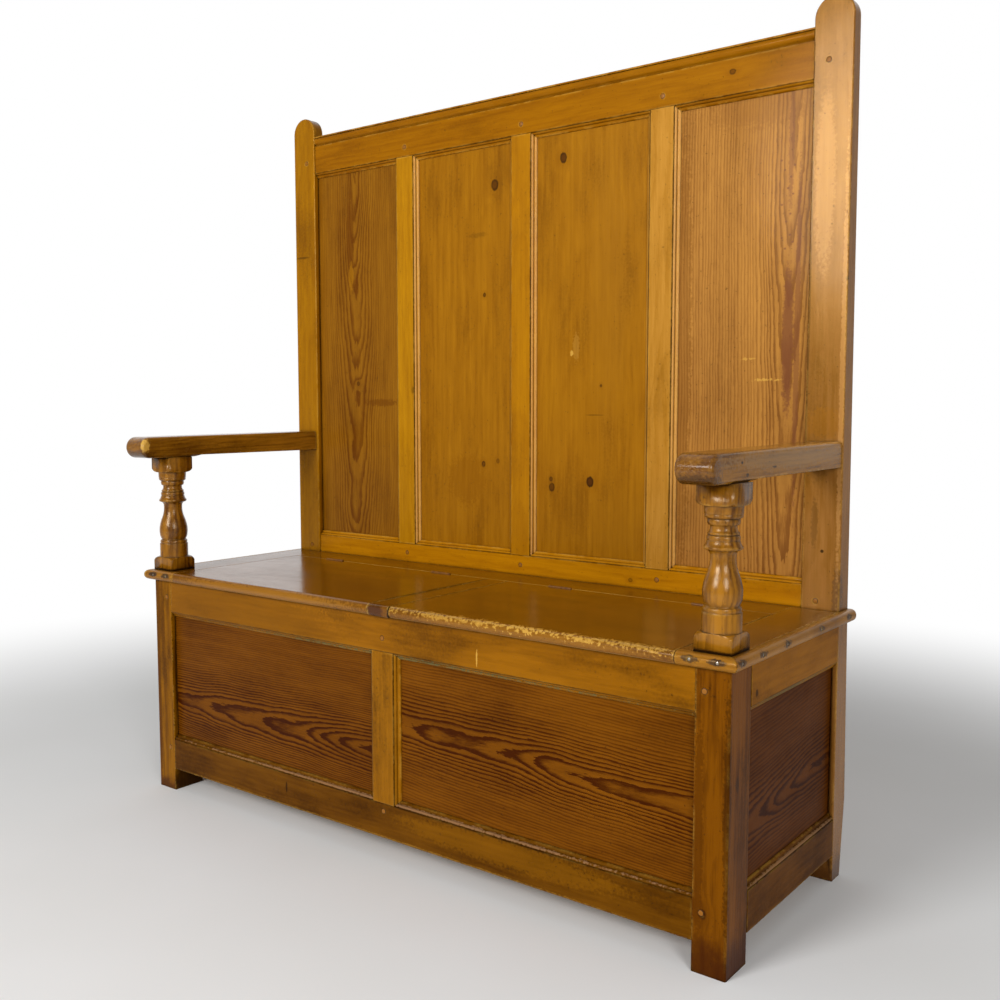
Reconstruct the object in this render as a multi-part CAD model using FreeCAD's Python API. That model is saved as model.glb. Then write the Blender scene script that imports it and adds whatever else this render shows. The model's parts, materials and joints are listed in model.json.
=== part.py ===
import FreeCAD, Part
import math
import os

Vec = FreeCAD.Vector

# A high-backed box settle in old pine: panelled back, turned arm supports and a lift-up seat.
# X runs along the bench, Y from front to back, Z up. The origin is on the floor, under the
# middle of the footprint. All sizes are in millimetres.

# Overall sizes
overall_width = 1290.0
seat_height = 456.5
back_height = 1438.5
frame_depth = 400.0
arm_overhang = 62.0

# Rear stiles, which run from the floor to the rounded tops
stile_width = 65.0
stile_depth_top = 26.0
stile_depth_seat = 40.0
stile_depth_knee = 50.0
stile_depth_foot = 34.0
knee_height = 130.0
stile_edge_round = 2.0

# Front posts
post_width = 53.0
post_depth = 67.0
post_edge_round = 3.0

# Front and side rails of the box
rail_thickness = 25.0
rail_above_floor = 45.0
bottom_rail_width = 61.5
top_rail_width = 63.5
front_muntin_width = 49.5

# Rails and muntins of the back
back_setback = 3.0
back_rail_thickness = 22.0
back_top_rail_width = 59.5
seat_rail_rise = 39.0
seat_rail_drop = 40.5
muntin_width = 46.5
muntin_offsets = (-7.0, -4.0, 3.5)
lower_back_board = 10.0

# Cap moulding between the stile tops
cap_height = 20.5
cap_below_stile_top = 44.0
cap_quirk = 4.5
cap_cove = 2.2
cap_fillet = 3.0
cap_fillet_set = 1.0

# Sticking, the moulded edge worked on rails and muntins, with the panel groove behind it
moulding_width = 10.0
panel_setback = 10.0
quirk_step = 1.5
bead_width = 4.0
bead_depth = 3.3
bead_fillet = 1.0
groove_depth = 9.0
groove_room = 0.3

# Panels, feathered behind towards their edges
panel_edge = 6.0
panel_field = 3.0
panel_feather = 25.0
panel_tongue = 8.0
panel_shoulder = 10.0

# Tenons and their pegs
tenon_thickness = 9.0
tenon_length = 32.0
stile_side_tenon = 28.0
tenon_shoulder = 6.0
muntin_tenon_length = 34.0
joint_fit = 0.1
peg_diameter = 9.0
peg_length = 22.0
peg_proud = 0.6
peg_fit = 0.05
stile_peg_inset = 25.0
stile_peg_height = 25.0
muntin_peg_height = 20.0
post_peg_inset = 14.0
post_peg_top_height = 30.0
post_peg_bottom_drop = 18.0
front_muntin_peg_rise = 24.0
front_muntin_peg_drop = 14.0

# Seat boards, lids and nosing
seat_thickness = 20.0
end_board_width = 78.0
back_strip_width = 80.0
centre_strip_width = 48.0
centre_strip_offset = 4.0
centre_strip_round = 4.7
nosing_overhang = 15.0
nosing_round = 9.5
lid_gap = 1.5
hinge_gap = 1.0

# Bearers under the seat and lid battens
bearer_width = 38.0
bearer_height = 35.0
bearer_post_gap = 0.5
centre_bearer_width = 70.0
batten_width = 40.0
batten_thickness = 18.0
batten_front_gap = 9.0
batten_back_gap = 28.0
batten_inset = 88.0
batten_edge_round = 3.0

# Box floor
floor_bearer_width = 40.0
floor_bearer_height = 24.0
floor_board_thickness = 12.0
floor_board_count = 3
floor_board_gap = 1.0

# Arms
arm_width = 57.0
arm_inset = 2.0
arm_thickness = 42.0
arm_rise_back = 278.0
arm_rise_front = 274.0
arm_pad_length = 64.0
arm_pad_ramp = 16.0
arm_pad_depth = 3.5
arm_edge_round = 6.5
arm_tenon_length = 20.0
arm_tenon_width = 30.0
arm_tenon_height = 18.0

# Turned arm supports
support_stock = 57.0
support_base_block = 27.0
shoulder_round = 9.5
shoulder_fullness = 0.7
swing_room = 0.5
support_dowel = 18.0
support_dowel_down = 45.0
support_dowel_up = 22.0

# Butt hinges of the lids
hinge_length = 50.0
hinge_inset = 95.0
leaf_thickness = 1.2
leaf_depth = 17.0
knuckle_diameter = 5.0
knuckle_count = 5
knuckle_gap = 0.2
knuckle_room = 0.3
pin_diameter = 2.2
pin_fit = 0.05
hinge_screw_diameter = 3.0
hinge_screw_head = 5.6
hinge_screw_length = 13.0
hinge_screw_pitch = 17.0

# Nails of the nosing strips
nail_diameter = 2.4
nail_head = 5.4
nail_head_thickness = 1.2
nail_length = 42.0
nail_set = 0.3
side_nail_places = (5.0, 72.0, 157.0, 288.0)
stile_nail_setback = 12.0
front_nail_insets = (14.0, 56.0)
nail_below_top = 8.5
nail_mouth = 3.0

# Places worked out from the sizes
half_width = overall_width / 2
front_face = (arm_overhang - frame_depth - stile_depth_knee) / 2
stile_face = front_face + frame_depth
back_face = stile_face + back_setback
post_inner = half_width - post_width
stile_inner = half_width - stile_width
post_back = front_face + post_depth
seat_under = seat_height - seat_thickness
bottom_flat = rail_above_floor + bottom_rail_width
top_flat = seat_under - top_rail_width
seat_rail_low = seat_height - seat_rail_drop
seat_rail_flat = seat_height + seat_rail_rise
cap_top = back_height - cap_below_stile_top
cap_low = cap_top - cap_height
back_top_flat = cap_low - back_top_rail_width
groove_front = panel_setback
groove_back = panel_setback + panel_edge + groove_room
hinge_line = stile_face - back_strip_width
nosing_tip = front_face - nosing_overhang
inner_board_edge = half_width - end_board_width
strip_left = centre_strip_offset - centre_strip_width / 2
strip_right = centre_strip_offset + centre_strip_width / 2
tenon_front = (rail_thickness - tenon_thickness) / 2
back_tenon_front = (back_rail_thickness - tenon_thickness) / 2
arm_top_back = seat_height + arm_rise_back
arm_top_front = seat_height + arm_rise_front
arm_mid = arm_top_front - arm_thickness / 2
arm_under_front = arm_top_front - arm_thickness
support_height = arm_under_front - seat_height
stile_rear_seat = stile_face + stile_depth_seat
nodes = {}


# Basic shapes

def box(x0, x1, y0, y1, z0, z1):
    return Part.makeBox(x1 - x0, y1 - y0, z1 - z0, Vec(x0, y0, z0))


def socket(x0, x1, y0, y1, z0, z1):
    fit = joint_fit
    return box(x0 - fit, x1 + fit, y0 - fit, y1 + fit, z0 - fit, z1 + fit)


def rod(radius, start, direction, length):
    return Part.makeCylinder(radius, length, start, direction)


def mirrored(shape):
    return shape.mirror(Vec(0, 0, 0), Vec(1, 0, 0))


def joined(shapes):
    result = shapes[0]
    if len(shapes) > 1:
        result = result.fuse(shapes[1:]).removeSplitter()
    return result


def without(shape, tools):
    return shape.cut(tools) if tools else shape


def face_from(edges):
    return Part.Face(Part.Wire(Part.__sortEdges__(edges)))


def polygon(points):
    return Part.Face(Part.makePolygon(points + [points[0]]))


def quarter(start, end):
    # A convex quarter turn that leaves start along the second axis and reaches end along the first.
    turn = math.sin(math.radians(45))
    across = (end - start)
    middle = Vec(start.x, start.y + across.y * (1 - turn), start.z + across.z * turn)
    return Part.Arc(start, middle, end).toShape()


def rounded(shape, radius, chosen):
    edges = [edge for edge in shape.Edges if chosen(edge)]
    return shape.makeFillet(radius, edges) if edges else shape


def add_pair(name, shape):
    nodes[name + "_right"] = shape
    nodes[name + "_left"] = mirrored(shape)


# Moulded edges

def sticking(length, thickness, mitre_start, mitre_end):
    # Runs along X from 0, with its face at Y = 0 and the rail's flat edge at Z = 0.
    bead_start = Vec(0, quirk_step, 0)
    bead_end = Vec(0, quirk_step + bead_depth, bead_width)
    ovolo_start = Vec(0, bead_end.y + bead_fillet, bead_width)
    ovolo_end = Vec(0, panel_setback, moulding_width)
    floor = moulding_width - groove_depth
    corners = [
        ovolo_end,
        Vec(0, groove_front, floor),
        Vec(0, groove_back, floor),
        Vec(0, groove_back, moulding_width),
        Vec(0, thickness, moulding_width),
        Vec(0, thickness, 0),
        bead_start,
    ]
    edges = [Part.makeLine(a, b) for a, b in zip(corners, corners[1:])]
    edges.append(quarter(bead_start, bead_end))
    edges.append(Part.makeLine(bead_end, ovolo_start))
    edges.append(quarter(ovolo_start, ovolo_end))
    strip = face_from(edges).extrude(Vec(length, 0, 0))
    reach = moulding_width + 1
    if mitre_start:
        wedge = polygon([Vec(-1, -1, -1), Vec(-1, -1, reach), Vec(reach, -1, reach)])
        strip = strip.cut(wedge.extrude(Vec(0, thickness + 2, 0)))
    if mitre_end:
        far = length + 1
        wedge = polygon([Vec(far, -1, -1), Vec(far, -1, reach), Vec(length - reach, -1, reach)])
        strip = strip.cut(wedge.extrude(Vec(0, thickness + 2, 0)))
    return strip


def edge_above(x0, x1, face, z, thickness, mitres):
    strip = sticking(x1 - x0, thickness, mitres[0], mitres[1])
    strip.translate(Vec(x0, face, z))
    return strip


def edge_below(x0, x1, face, z, thickness, mitres):
    strip = sticking(x1 - x0, thickness, mitres[0], mitres[1])
    strip = strip.mirror(Vec(0, 0, 0), Vec(0, 0, 1))
    strip.translate(Vec(x0, face, z))
    return strip


def edge_upright(x, side, face, z0, z1, thickness):
    # The sticking of a muntin: it stands on Z and grows towards side, -1 or 1, along X.
    strip = sticking(z1 - z0, thickness, True, True)
    strip.rotate(Vec(0, 0, 0), Vec(0, 1, 0), -90)
    if side > 0:
        strip = mirrored(strip)
    strip.translate(Vec(x, face, z0))
    return strip


def rail_bays(inner, centres, width):
    # Stretches of a rail between its stiles and muntins, with the ends that are mitred.
    starts = [-inner] + [centre + width / 2 for centre in centres]
    ends = [centre - width / 2 for centre in centres] + [inner]
    last = len(ends) - 1
    return [(starts[i], ends[i], (i > 0, i < last)) for i in range(last + 1)]


def panel(x0, x1, z0, z1, face):
    # Flat in front, with a field behind that is feathered down to the grooved edge.
    front = face + panel_setback
    slab = box(x0, x1, front, front + panel_edge, z0, z1)
    back = front + panel_edge
    rings = []
    for inset, depth in ((panel_shoulder, back), (panel_shoulder + panel_feather, back + panel_field)):
        ring = [
            Vec(x0 + inset, depth, z0 + inset),
            Vec(x1 - inset, depth, z0 + inset),
            Vec(x1 - inset, depth, z1 - inset),
            Vec(x0 + inset, depth, z1 - inset),
        ]
        rings.append(Part.makePolygon(ring + [ring[0]]))
    return slab.fuse(Part.makeLoft(rings, True, True))


# Pegs

peg_places = []


def peg_hole(place):
    depth = peg_length + joint_fit
    return rod(peg_diameter / 2 + peg_fit, place - Vec(0, 1, 0), Vec(0, 1, 0), depth + 1)


def peg(place):
    radius = peg_diameter / 2
    shank = rod(radius, place, Vec(0, 1, 0), peg_length)
    head = Part.makeCone(radius - peg_proud, radius, peg_proud, place - Vec(0, peg_proud, 0), Vec(0, 1, 0))
    return shank.fuse(head).removeSplitter()


def note_pegs(places):
    peg_places.extend(places)
    return [peg_hole(place) for place in places]


# Back frame

even_bay = (2 * stile_inner - 3 * muntin_width) / 4
even_centres = [(i - 1) * (even_bay + muntin_width) for i in range(3)]
muntin_centres = [even_centres[i] + muntin_offsets[i] for i in range(3)]
back_bays = rail_bays(stile_inner, muntin_centres, muntin_width)
back_tenon_y = (back_face + back_tenon_front, back_face + back_tenon_front + tenon_thickness)


def back_rail_tenons(z0, z1):
    low = z0 + tenon_shoulder
    high = z1 - tenon_shoulder
    right = (stile_inner, stile_inner + tenon_length, *back_tenon_y, low, high)
    left = (-stile_inner - tenon_length, -stile_inner, *back_tenon_y, low, high)
    return left, right


def muntin_tenon(centre, z0, z1):
    half = muntin_width / 2 - tenon_shoulder
    return centre - half, centre + half, *back_tenon_y, z0, z1


top_tenons = back_rail_tenons(back_top_flat, cap_low)
seat_tenons = back_rail_tenons(seat_rail_low, seat_rail_flat)
low_tenons = back_rail_tenons(rail_above_floor, bottom_flat)

stile_top_peg = back_top_flat + stile_peg_height
stile_seat_peg = seat_rail_flat - stile_peg_height
stile_peg_x = stile_inner + stile_peg_inset
right_stile_pegs = [
    Vec(stile_peg_x, stile_face, stile_top_peg),
    Vec(stile_peg_x, stile_face, stile_seat_peg),
]
left_stile_pegs = [Vec(-place.x, place.y, place.z) for place in right_stile_pegs]
upper_muntin_pegs = [Vec(x, back_face, back_top_flat + muntin_peg_height) for x in muntin_centres]
lower_muntin_pegs = [Vec(x, back_face, seat_rail_flat - muntin_peg_height) for x in muntin_centres]


def stile_blank():
    # The side outline carries the taper behind, and the front outline the rounded top.
    top = back_height
    side = polygon([
        Vec(stile_inner, stile_face, 0),
        Vec(stile_inner, stile_face + stile_depth_foot, 0),
        Vec(stile_inner, stile_face + stile_depth_knee, knee_height),
        Vec(stile_inner, stile_face + stile_depth_seat, seat_height),
        Vec(stile_inner, stile_face + stile_depth_top, top),
        Vec(stile_inner, stile_face, top),
    ]).extrude(Vec(stile_width, 0, 0))
    radius = stile_width / 2
    spring = top - radius
    y = stile_face - 1
    edges = [
        Part.makeLine(Vec(half_width, y, spring), Vec(half_width, y, -1)),
        Part.makeLine(Vec(half_width, y, -1), Vec(stile_inner, y, -1)),
        Part.makeLine(Vec(stile_inner, y, -1), Vec(stile_inner, y, spring)),
    ]
    crown = Part.Arc(
        Vec(stile_inner, y, spring),
        Vec(half_width - radius, y, top),
        Vec(half_width, y, spring),
    ).toShape()
    outline = face_from(edges + [crown]).extrude(Vec(0, stile_depth_knee + 2, 0))
    blank = side.common(outline)

    def front_arris(edge):
        box_ = edge.BoundBox
        on_front = box_.YMax < stile_face + 0.01
        return on_front and box_.ZLength > radius / 2

    return rounded(blank, stile_edge_round, front_arris)


def side_tenons(z0, z1):
    # Tenons of the right side rails: into the front post and into the stile.
    x1 = half_width - tenon_front
    x0 = x1 - tenon_thickness
    low = z0 + tenon_shoulder
    high = z1 - tenon_shoulder
    front = (x0, x1, post_back - tenon_length, post_back, low, high)
    rear = (x0, x1, stile_face, stile_face + stile_side_tenon, low, high)
    return front, rear


side_top_tenons = side_tenons(top_flat, seat_under)
side_bottom_tenons = side_tenons(rail_above_floor, bottom_flat)
side_groove_x = (half_width - groove_back, half_width - groove_front)
arm_outer = half_width - arm_inset
arm_centre = arm_outer - arm_width / 2
arm_tenon_mid = (arm_top_back + arm_top_back - arm_thickness) / 2
arm_tenon = (
    arm_centre - arm_tenon_width / 2,
    arm_centre + arm_tenon_width / 2,
    stile_face,
    stile_face + arm_tenon_length,
    arm_tenon_mid - arm_tenon_height / 2,
    arm_tenon_mid + arm_tenon_height / 2,
)
lower_board_y = (back_face + back_tenon_front, back_face + back_tenon_front + lower_back_board)


def stile_right(pegs):
    upper_groove = box(
        stile_inner - 1,
        stile_inner + groove_depth,
        back_face + groove_front,
        back_face + groove_back,
        seat_rail_flat,
        back_top_flat,
    )
    side_groove = box(
        *side_groove_x,
        stile_face - 1,
        stile_face + groove_depth,
        bottom_flat,
        top_flat,
    )
    lower_groove = box(
        stile_inner - 1,
        stile_inner + groove_depth,
        lower_board_y[0],
        lower_board_y[1] + groove_room,
        bottom_flat - groove_depth,
        seat_rail_low + groove_depth,
    )
    cuts = [upper_groove, side_groove, lower_groove, socket(*arm_tenon)]
    cuts += [socket(*pair[1]) for pair in (top_tenons, seat_tenons, low_tenons)]
    cuts += [socket(*pair[1]) for pair in (side_top_tenons, side_bottom_tenons)]
    return without(stile_blank(), cuts + pegs)


def make_back():
    nodes["back_stile_right"] = stile_right(note_pegs(right_stile_pegs))
    nodes["back_stile_left"] = mirrored(stile_right([mirrored(h) for h in note_pegs(left_stile_pegs)]))
    stile_holes = [peg_hole(p) for p in right_stile_pegs + left_stile_pegs]
    thick = back_rail_thickness
    rear = back_face + thick

    body = box(-stile_inner, stile_inner, back_face, rear, back_top_flat, cap_low)
    strips = [edge_below(a, b, back_face, back_top_flat, thick, m) for a, b, m in back_bays]
    rail = joined([body] + strips + [box(*t) for t in top_tenons])
    sockets = []
    for x in muntin_centres:
        sockets.append(socket(*muntin_tenon(x, back_top_flat, back_top_flat + muntin_tenon_length)))
    nodes["back_top_rail"] = without(rail, sockets + note_pegs(upper_muntin_pegs) + stile_holes)

    body = box(-stile_inner, stile_inner, back_face, rear, seat_rail_low, seat_rail_flat)
    strips = [edge_above(a, b, back_face, seat_rail_flat, thick, m) for a, b, m in back_bays]
    rail = joined([body] + strips + [box(*t) for t in seat_tenons])
    sockets = []
    for x in muntin_centres:
        sockets.append(socket(*muntin_tenon(x, seat_rail_flat - muntin_tenon_length, seat_rail_flat)))
    groove_end = stile_inner + groove_depth
    groove = box(
        -groove_end,
        groove_end,
        lower_board_y[0],
        lower_board_y[1] + groove_room,
        seat_rail_low - 1,
        seat_rail_low + groove_depth,
    )
    holes = note_pegs(lower_muntin_pegs) + stile_holes
    nodes["back_seat_rail"] = without(rail, sockets + holes + [groove])

    body = box(-stile_inner, stile_inner, back_face, rear, rail_above_floor, bottom_flat)
    groove = box(
        -groove_end,
        groove_end,
        lower_board_y[0],
        lower_board_y[1] + groove_room,
        bottom_flat - groove_depth,
        bottom_flat + 1,
    )
    nodes["back_bottom_rail"] = joined([body] + [box(*t) for t in low_tenons]).cut(groove)

    holes = [peg_hole(p) for p in upper_muntin_pegs + lower_muntin_pegs]
    for x, place in zip(muntin_centres, ("left", "centre", "right")):
        low = seat_rail_flat
        high = back_top_flat
        half = muntin_width / 2
        pieces = [box(x - half, x + half, back_face, rear, low, high)]
        pieces.append(edge_upright(x - half, -1, back_face, low, high, thick))
        pieces.append(edge_upright(x + half, 1, back_face, low, high, thick))
        pieces.append(box(*muntin_tenon(x, low - muntin_tenon_length, high + muntin_tenon_length)))
        nodes["back_muntin_" + place] = without(joined(pieces), holes)

    names = ("far_left", "mid_left", "mid_right", "far_right")
    inside = moulding_width - panel_tongue
    for (x0, x1, mitres), name in zip(back_bays, names):
        left = x0 + inside if mitres[0] else x0 - panel_tongue
        right = x1 - inside if mitres[1] else x1 + panel_tongue
        low = seat_rail_flat + inside
        high = back_top_flat - inside
        nodes["back_panel_" + name] = panel(left, right, low, high, back_face)

    low = bottom_flat - panel_tongue
    high = seat_rail_low + panel_tongue
    middle = (low + high) / 2
    x = stile_inner + panel_tongue
    nodes["box_back_board_lower"] = box(-x, x, *lower_board_y, low, middle)
    nodes["box_back_board_upper"] = box(-x, x, *lower_board_y, middle, high)


def make_cap():
    # Section: a torus over a small cove and fillet, worked on the front edge.
    front = stile_face
    rear = back_face + back_rail_thickness
    bottom = cap_low
    round_low = bottom + cap_quirk
    round_high = cap_top - cap_fillet
    belly = Vec(-stile_inner, front, (round_low + round_high) / 2)
    low_point = Vec(-stile_inner, back_face, round_low)
    high_point = Vec(-stile_inner, back_face, round_high)
    cove_start = Vec(-stile_inner, back_face + cap_cove, bottom)
    corners = [
        high_point,
        Vec(-stile_inner, front + cap_fillet_set, round_high),
        Vec(-stile_inner, front + cap_fillet_set, cap_top),
        Vec(-stile_inner, rear, cap_top),
        Vec(-stile_inner, rear, bottom),
        cove_start,
    ]
    edges = [Part.makeLine(a, b) for a, b in zip(corners, corners[1:])]
    edges.append(quarter(cove_start, low_point))
    edges.append(Part.Arc(low_point, belly, high_point).toShape())
    nodes["back_cap_moulding"] = face_from(edges).extrude(Vec(2 * stile_inner, 0, 0))


# Front and side frames of the box

def front_tenon(z0, z1):
    y0 = front_face + tenon_front
    low = z0 + tenon_shoulder
    high = z1 - tenon_shoulder
    return post_inner, post_inner + tenon_length, y0, y0 + tenon_thickness, low, high


def opposite(bounds):
    return (-bounds[1], -bounds[0], *bounds[2:])


front_top_tenon = front_tenon(top_flat, seat_under)
front_bottom_tenon = front_tenon(rail_above_floor, bottom_flat)
post_peg_x = post_inner + post_peg_inset
right_post_pegs = [
    Vec(post_peg_x, front_face, top_flat + post_peg_top_height),
    Vec(post_peg_x, front_face, bottom_flat - post_peg_bottom_drop),
]
left_post_pegs = [Vec(-place.x, place.y, place.z) for place in right_post_pegs]
front_muntin_pegs = [
    Vec(0, front_face, top_flat + front_muntin_peg_rise),
    Vec(0, front_face, bottom_flat - front_muntin_peg_drop),
]
support_centre = Vec(half_width - support_stock / 2, front_face + support_stock / 2, seat_height)


def dowel_hole(z0, z1):
    foot = Vec(support_centre.x, support_centre.y, z0)
    return rod(support_dowel / 2 + joint_fit, foot, Vec(0, 0, 1), z1 - z0)


def post_right(pegs):
    blank = box(post_inner, half_width, front_face, post_back, 0, seat_under)

    def outer_upright(edge):
        return edge.BoundBox.ZLength > seat_under / 2 and edge.BoundBox.XMin > half_width - 1

    blank = rounded(blank, post_edge_round, outer_upright)
    front_groove = box(
        post_inner - 1,
        post_inner + groove_depth,
        front_face + groove_front,
        front_face + groove_back,
        bottom_flat,
        top_flat,
    )
    side_groove = box(
        *side_groove_x,
        post_back - groove_depth,
        post_back + 1,
        bottom_flat,
        top_flat,
    )
    cuts = [front_groove, side_groove]
    cuts += [socket(*front_top_tenon), socket(*front_bottom_tenon)]
    cuts += [socket(*side_top_tenons[0]), socket(*side_bottom_tenons[0])]
    cuts.append(dowel_hole(seat_height - support_dowel_down - joint_fit, seat_under + 1))
    return without(blank, cuts + pegs)


def make_front():
    nodes["front_post_right"] = post_right(note_pegs(right_post_pegs))
    nodes["front_post_left"] = mirrored(post_right([mirrored(h) for h in note_pegs(left_post_pegs)]))
    post_holes = [peg_hole(p) for p in right_post_pegs + left_post_pegs]
    thick = rail_thickness
    rear = front_face + thick
    bays = rail_bays(post_inner, [0.0], front_muntin_width)
    tenon_y = (front_face + tenon_front, front_face + tenon_front + tenon_thickness)
    half = front_muntin_width / 2
    tenon_half = half - tenon_shoulder

    body = box(-post_inner, post_inner, front_face, rear, top_flat, seat_under)
    strips = [edge_below(a, b, front_face, top_flat, thick, m) for a, b, m in bays]
    rail = joined([body] + strips + [box(*front_top_tenon), box(*opposite(front_top_tenon))])
    upper_tenon = (-tenon_half, tenon_half, *tenon_y, top_flat, top_flat + muntin_tenon_length)
    muntin_holes = note_pegs(front_muntin_pegs)
    nodes["front_top_rail"] = without(rail, [socket(*upper_tenon)] + muntin_holes + post_holes)

    body = box(-post_inner, post_inner, front_face, rear, rail_above_floor, bottom_flat)
    strips = [edge_above(a, b, front_face, bottom_flat, thick, m) for a, b, m in bays]
    rail = joined([body] + strips + [box(*front_bottom_tenon), box(*opposite(front_bottom_tenon))])
    lower_tenon = (-tenon_half, tenon_half, *tenon_y, bottom_flat - muntin_tenon_length, bottom_flat)
    nodes["front_bottom_rail"] = without(rail, [socket(*lower_tenon)] + muntin_holes + post_holes)

    pieces = [box(-half, half, front_face, rear, bottom_flat, top_flat)]
    pieces.append(edge_upright(-half, -1, front_face, bottom_flat, top_flat, thick))
    pieces.append(edge_upright(half, 1, front_face, bottom_flat, top_flat, thick))
    pieces += [box(*upper_tenon), box(*lower_tenon)]
    nodes["front_muntin"] = without(joined(pieces), muntin_holes)

    inside = moulding_width - panel_tongue
    low = bottom_flat + inside
    high = top_flat - inside
    inner = half + inside
    add_pair("front_panel", panel(inner, post_inner + panel_tongue, low, high, front_face))


def turned_to_side(shape):
    # From a piece that faces the front at Y = 0 to one that faces right at the end of the box.
    shape.rotate(Vec(0, 0, 0), Vec(0, 0, 1), 90)
    shape.translate(Vec(half_width, 0, 0))
    return shape


def make_sides():
    thick = rail_thickness
    length = stile_face - post_back
    inner_face = half_width - thick
    strip = turned_to_side(edge_below(post_back, stile_face, 0, top_flat, thick, (False, False)))
    body = box(inner_face, half_width, post_back, post_back + length, top_flat, seat_under)
    tenons = [box(*t) for t in side_top_tenons]
    add_pair("side_top_rail", joined([body, strip] + tenons))

    strip = turned_to_side(edge_above(post_back, stile_face, 0, bottom_flat, thick, (False, False)))
    body = box(inner_face, half_width, post_back, post_back + length, rail_above_floor, bottom_flat)
    tenons = [box(*t) for t in side_bottom_tenons]
    add_pair("side_bottom_rail", joined([body, strip] + tenons))

    inside = moulding_width - panel_tongue
    start = post_back - panel_tongue
    end = stile_face + panel_tongue
    side = panel(start, end, bottom_flat + inside, top_flat - inside, 0)
    add_pair("side_panel", turned_to_side(side))


# Seat boards, nosing and lids

nail_places = []


def nail_tool(place, direction, fit):
    sunk = place - direction * nail_set
    head = rod(nail_head / 2 + fit, sunk - direction * nail_head_thickness, direction, nail_head_thickness)
    shank_length = nail_length - nail_head_thickness
    shank = rod(nail_diameter / 2 + fit, sunk - direction * nail_length, direction, shank_length)
    return head, shank


def nail(place, direction):
    head, shank = nail_tool(place, direction, 0)
    return head.fuse(shank).removeSplitter()


def nail_hole(place, direction):
    head, shank = nail_tool(place, direction, peg_fit)
    mouth = rod(nail_head / 2 + peg_fit, place - direction * nail_set, direction, nail_mouth)
    return head.fuse([shank, mouth])


def make_seat():
    z = (seat_under, seat_height)
    side_edge = half_width + nosing_overhang
    nail_z = seat_height - nail_below_top
    right_way = Vec(1, 0, 0)
    front_way = Vec(0, -1, 0)
    side_nails = [(Vec(side_edge, front_face + y, nail_z), right_way) for y in side_nail_places]
    side_nails.append((Vec(side_edge, stile_face + stile_nail_setback, nail_z), right_way))
    front_nails = [(Vec(half_width - x, nosing_tip, nail_z), front_way) for x in front_nail_insets]
    nails = side_nails + front_nails
    holes = [nail_hole(*n) for n in nails]
    for n in nails:
        solid = nail(*n)
        nail_places.extend([solid, mirrored(solid)])

    board = box(inner_board_edge, half_width, front_face, back_face, *z)
    board = board.cut(box(stile_inner, half_width + 1, stile_face, back_face + 1, 0, back_height))
    hole = dowel_hole(seat_under - 1, seat_height + 1)
    add_pair("seat_end_board", without(board, holes + [hole]))

    reach = 2 * nosing_overhang
    corner = polygon([
        Vec(half_width, front_face, 0),
        Vec(half_width + reach, front_face - reach, 0),
        Vec(half_width + reach, stile_rear_seat + reach, 0),
        Vec(half_width, stile_rear_seat + reach, 0),
    ]).extrude(Vec(0, 0, back_height))
    front_strip = box(inner_board_edge, side_edge, nosing_tip, front_face, *z)
    front_strip = rounded(front_strip, nosing_round, front_long)
    add_pair("front_nosing", without(front_strip, [corner] + holes))
    side_strip = box(half_width, side_edge, nosing_tip, stile_rear_seat, *z)
    side_strip = rounded(side_strip, nosing_round, side_long)
    add_pair("side_nosing", without(side_strip.common(corner), holes))
    for place, way in side_nails[-1:]:
        hole = nail_hole(place, way)
        nodes["back_stile_right"] = nodes["back_stile_right"].cut(hole)
        nodes["back_stile_left"] = nodes["back_stile_left"].cut(mirrored(hole))

    strip = box(-inner_board_edge, inner_board_edge, hinge_line, back_face, *z)
    nodes["seat_back_strip"] = without(strip, hinge_cuts(1))

    strip = box(strip_left, strip_right, nosing_tip, hinge_line, *z)
    nodes["seat_centre_strip"] = rounded(strip, centre_strip_round, front_long)

    for name, x0, x1 in lids:
        lid = box(x0, x1, nosing_tip, hinge_line - hinge_gap, *z)
        lid = rounded(lid, nosing_round, front_long)
        nodes[name] = without(lid, hinge_cuts(-1))
        battens = [lid_batten(x0 + batten_inset), lid_batten(x1 - batten_inset - batten_width)]
        nodes[name + "_battens"] = Part.makeCompound(battens)


def front_long(edge):
    return edge.BoundBox.YMax < nosing_tip + 1 and edge.BoundBox.XLength > 1


def side_long(edge):
    return edge.BoundBox.XMin > half_width + nosing_overhang - 1 and edge.BoundBox.YLength > 1


def lid_batten(x):
    y0 = front_face + rail_thickness + batten_front_gap
    y1 = hinge_line - batten_back_gap
    low = seat_under - batten_thickness
    blank = box(x, x + batten_width, y0, y1, low, seat_under)
    return rounded(blank, batten_edge_round, lambda e: e.BoundBox.ZMax < low + 1)


lids = (
    ("lid_left", -inner_board_edge + lid_gap, strip_left - lid_gap),
    ("lid_right", strip_right + lid_gap, inner_board_edge - lid_gap),
)


# Butt hinges, with their leaves let into the meeting edges of lid and back strip

hinge_y = hinge_line - hinge_gap / 2
knuckle_radius = knuckle_diameter / 2
hinge_starts = [x for _, a, b in lids for x in (a + hinge_inset, b - hinge_inset - hinge_length)]
leaf_low = seat_height - leaf_depth
leaf_top = seat_height - knuckle_radius - knuckle_room


def leaf_faces(side):
    # Side 1 is the fixed leaf behind the gap, side -1 the lid's leaf in front of it.
    near = hinge_y + side * hinge_gap / 2
    far = near + side * leaf_thickness
    return min(near, far), max(near, far)


def hinge_screw_places(start, side):
    near = hinge_y + side * hinge_gap / 2
    middle = start + hinge_length / 2
    z = (leaf_low + leaf_top) / 2
    return [Vec(middle + i * hinge_screw_pitch, near, z) for i in (-1, 0, 1)]


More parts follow.
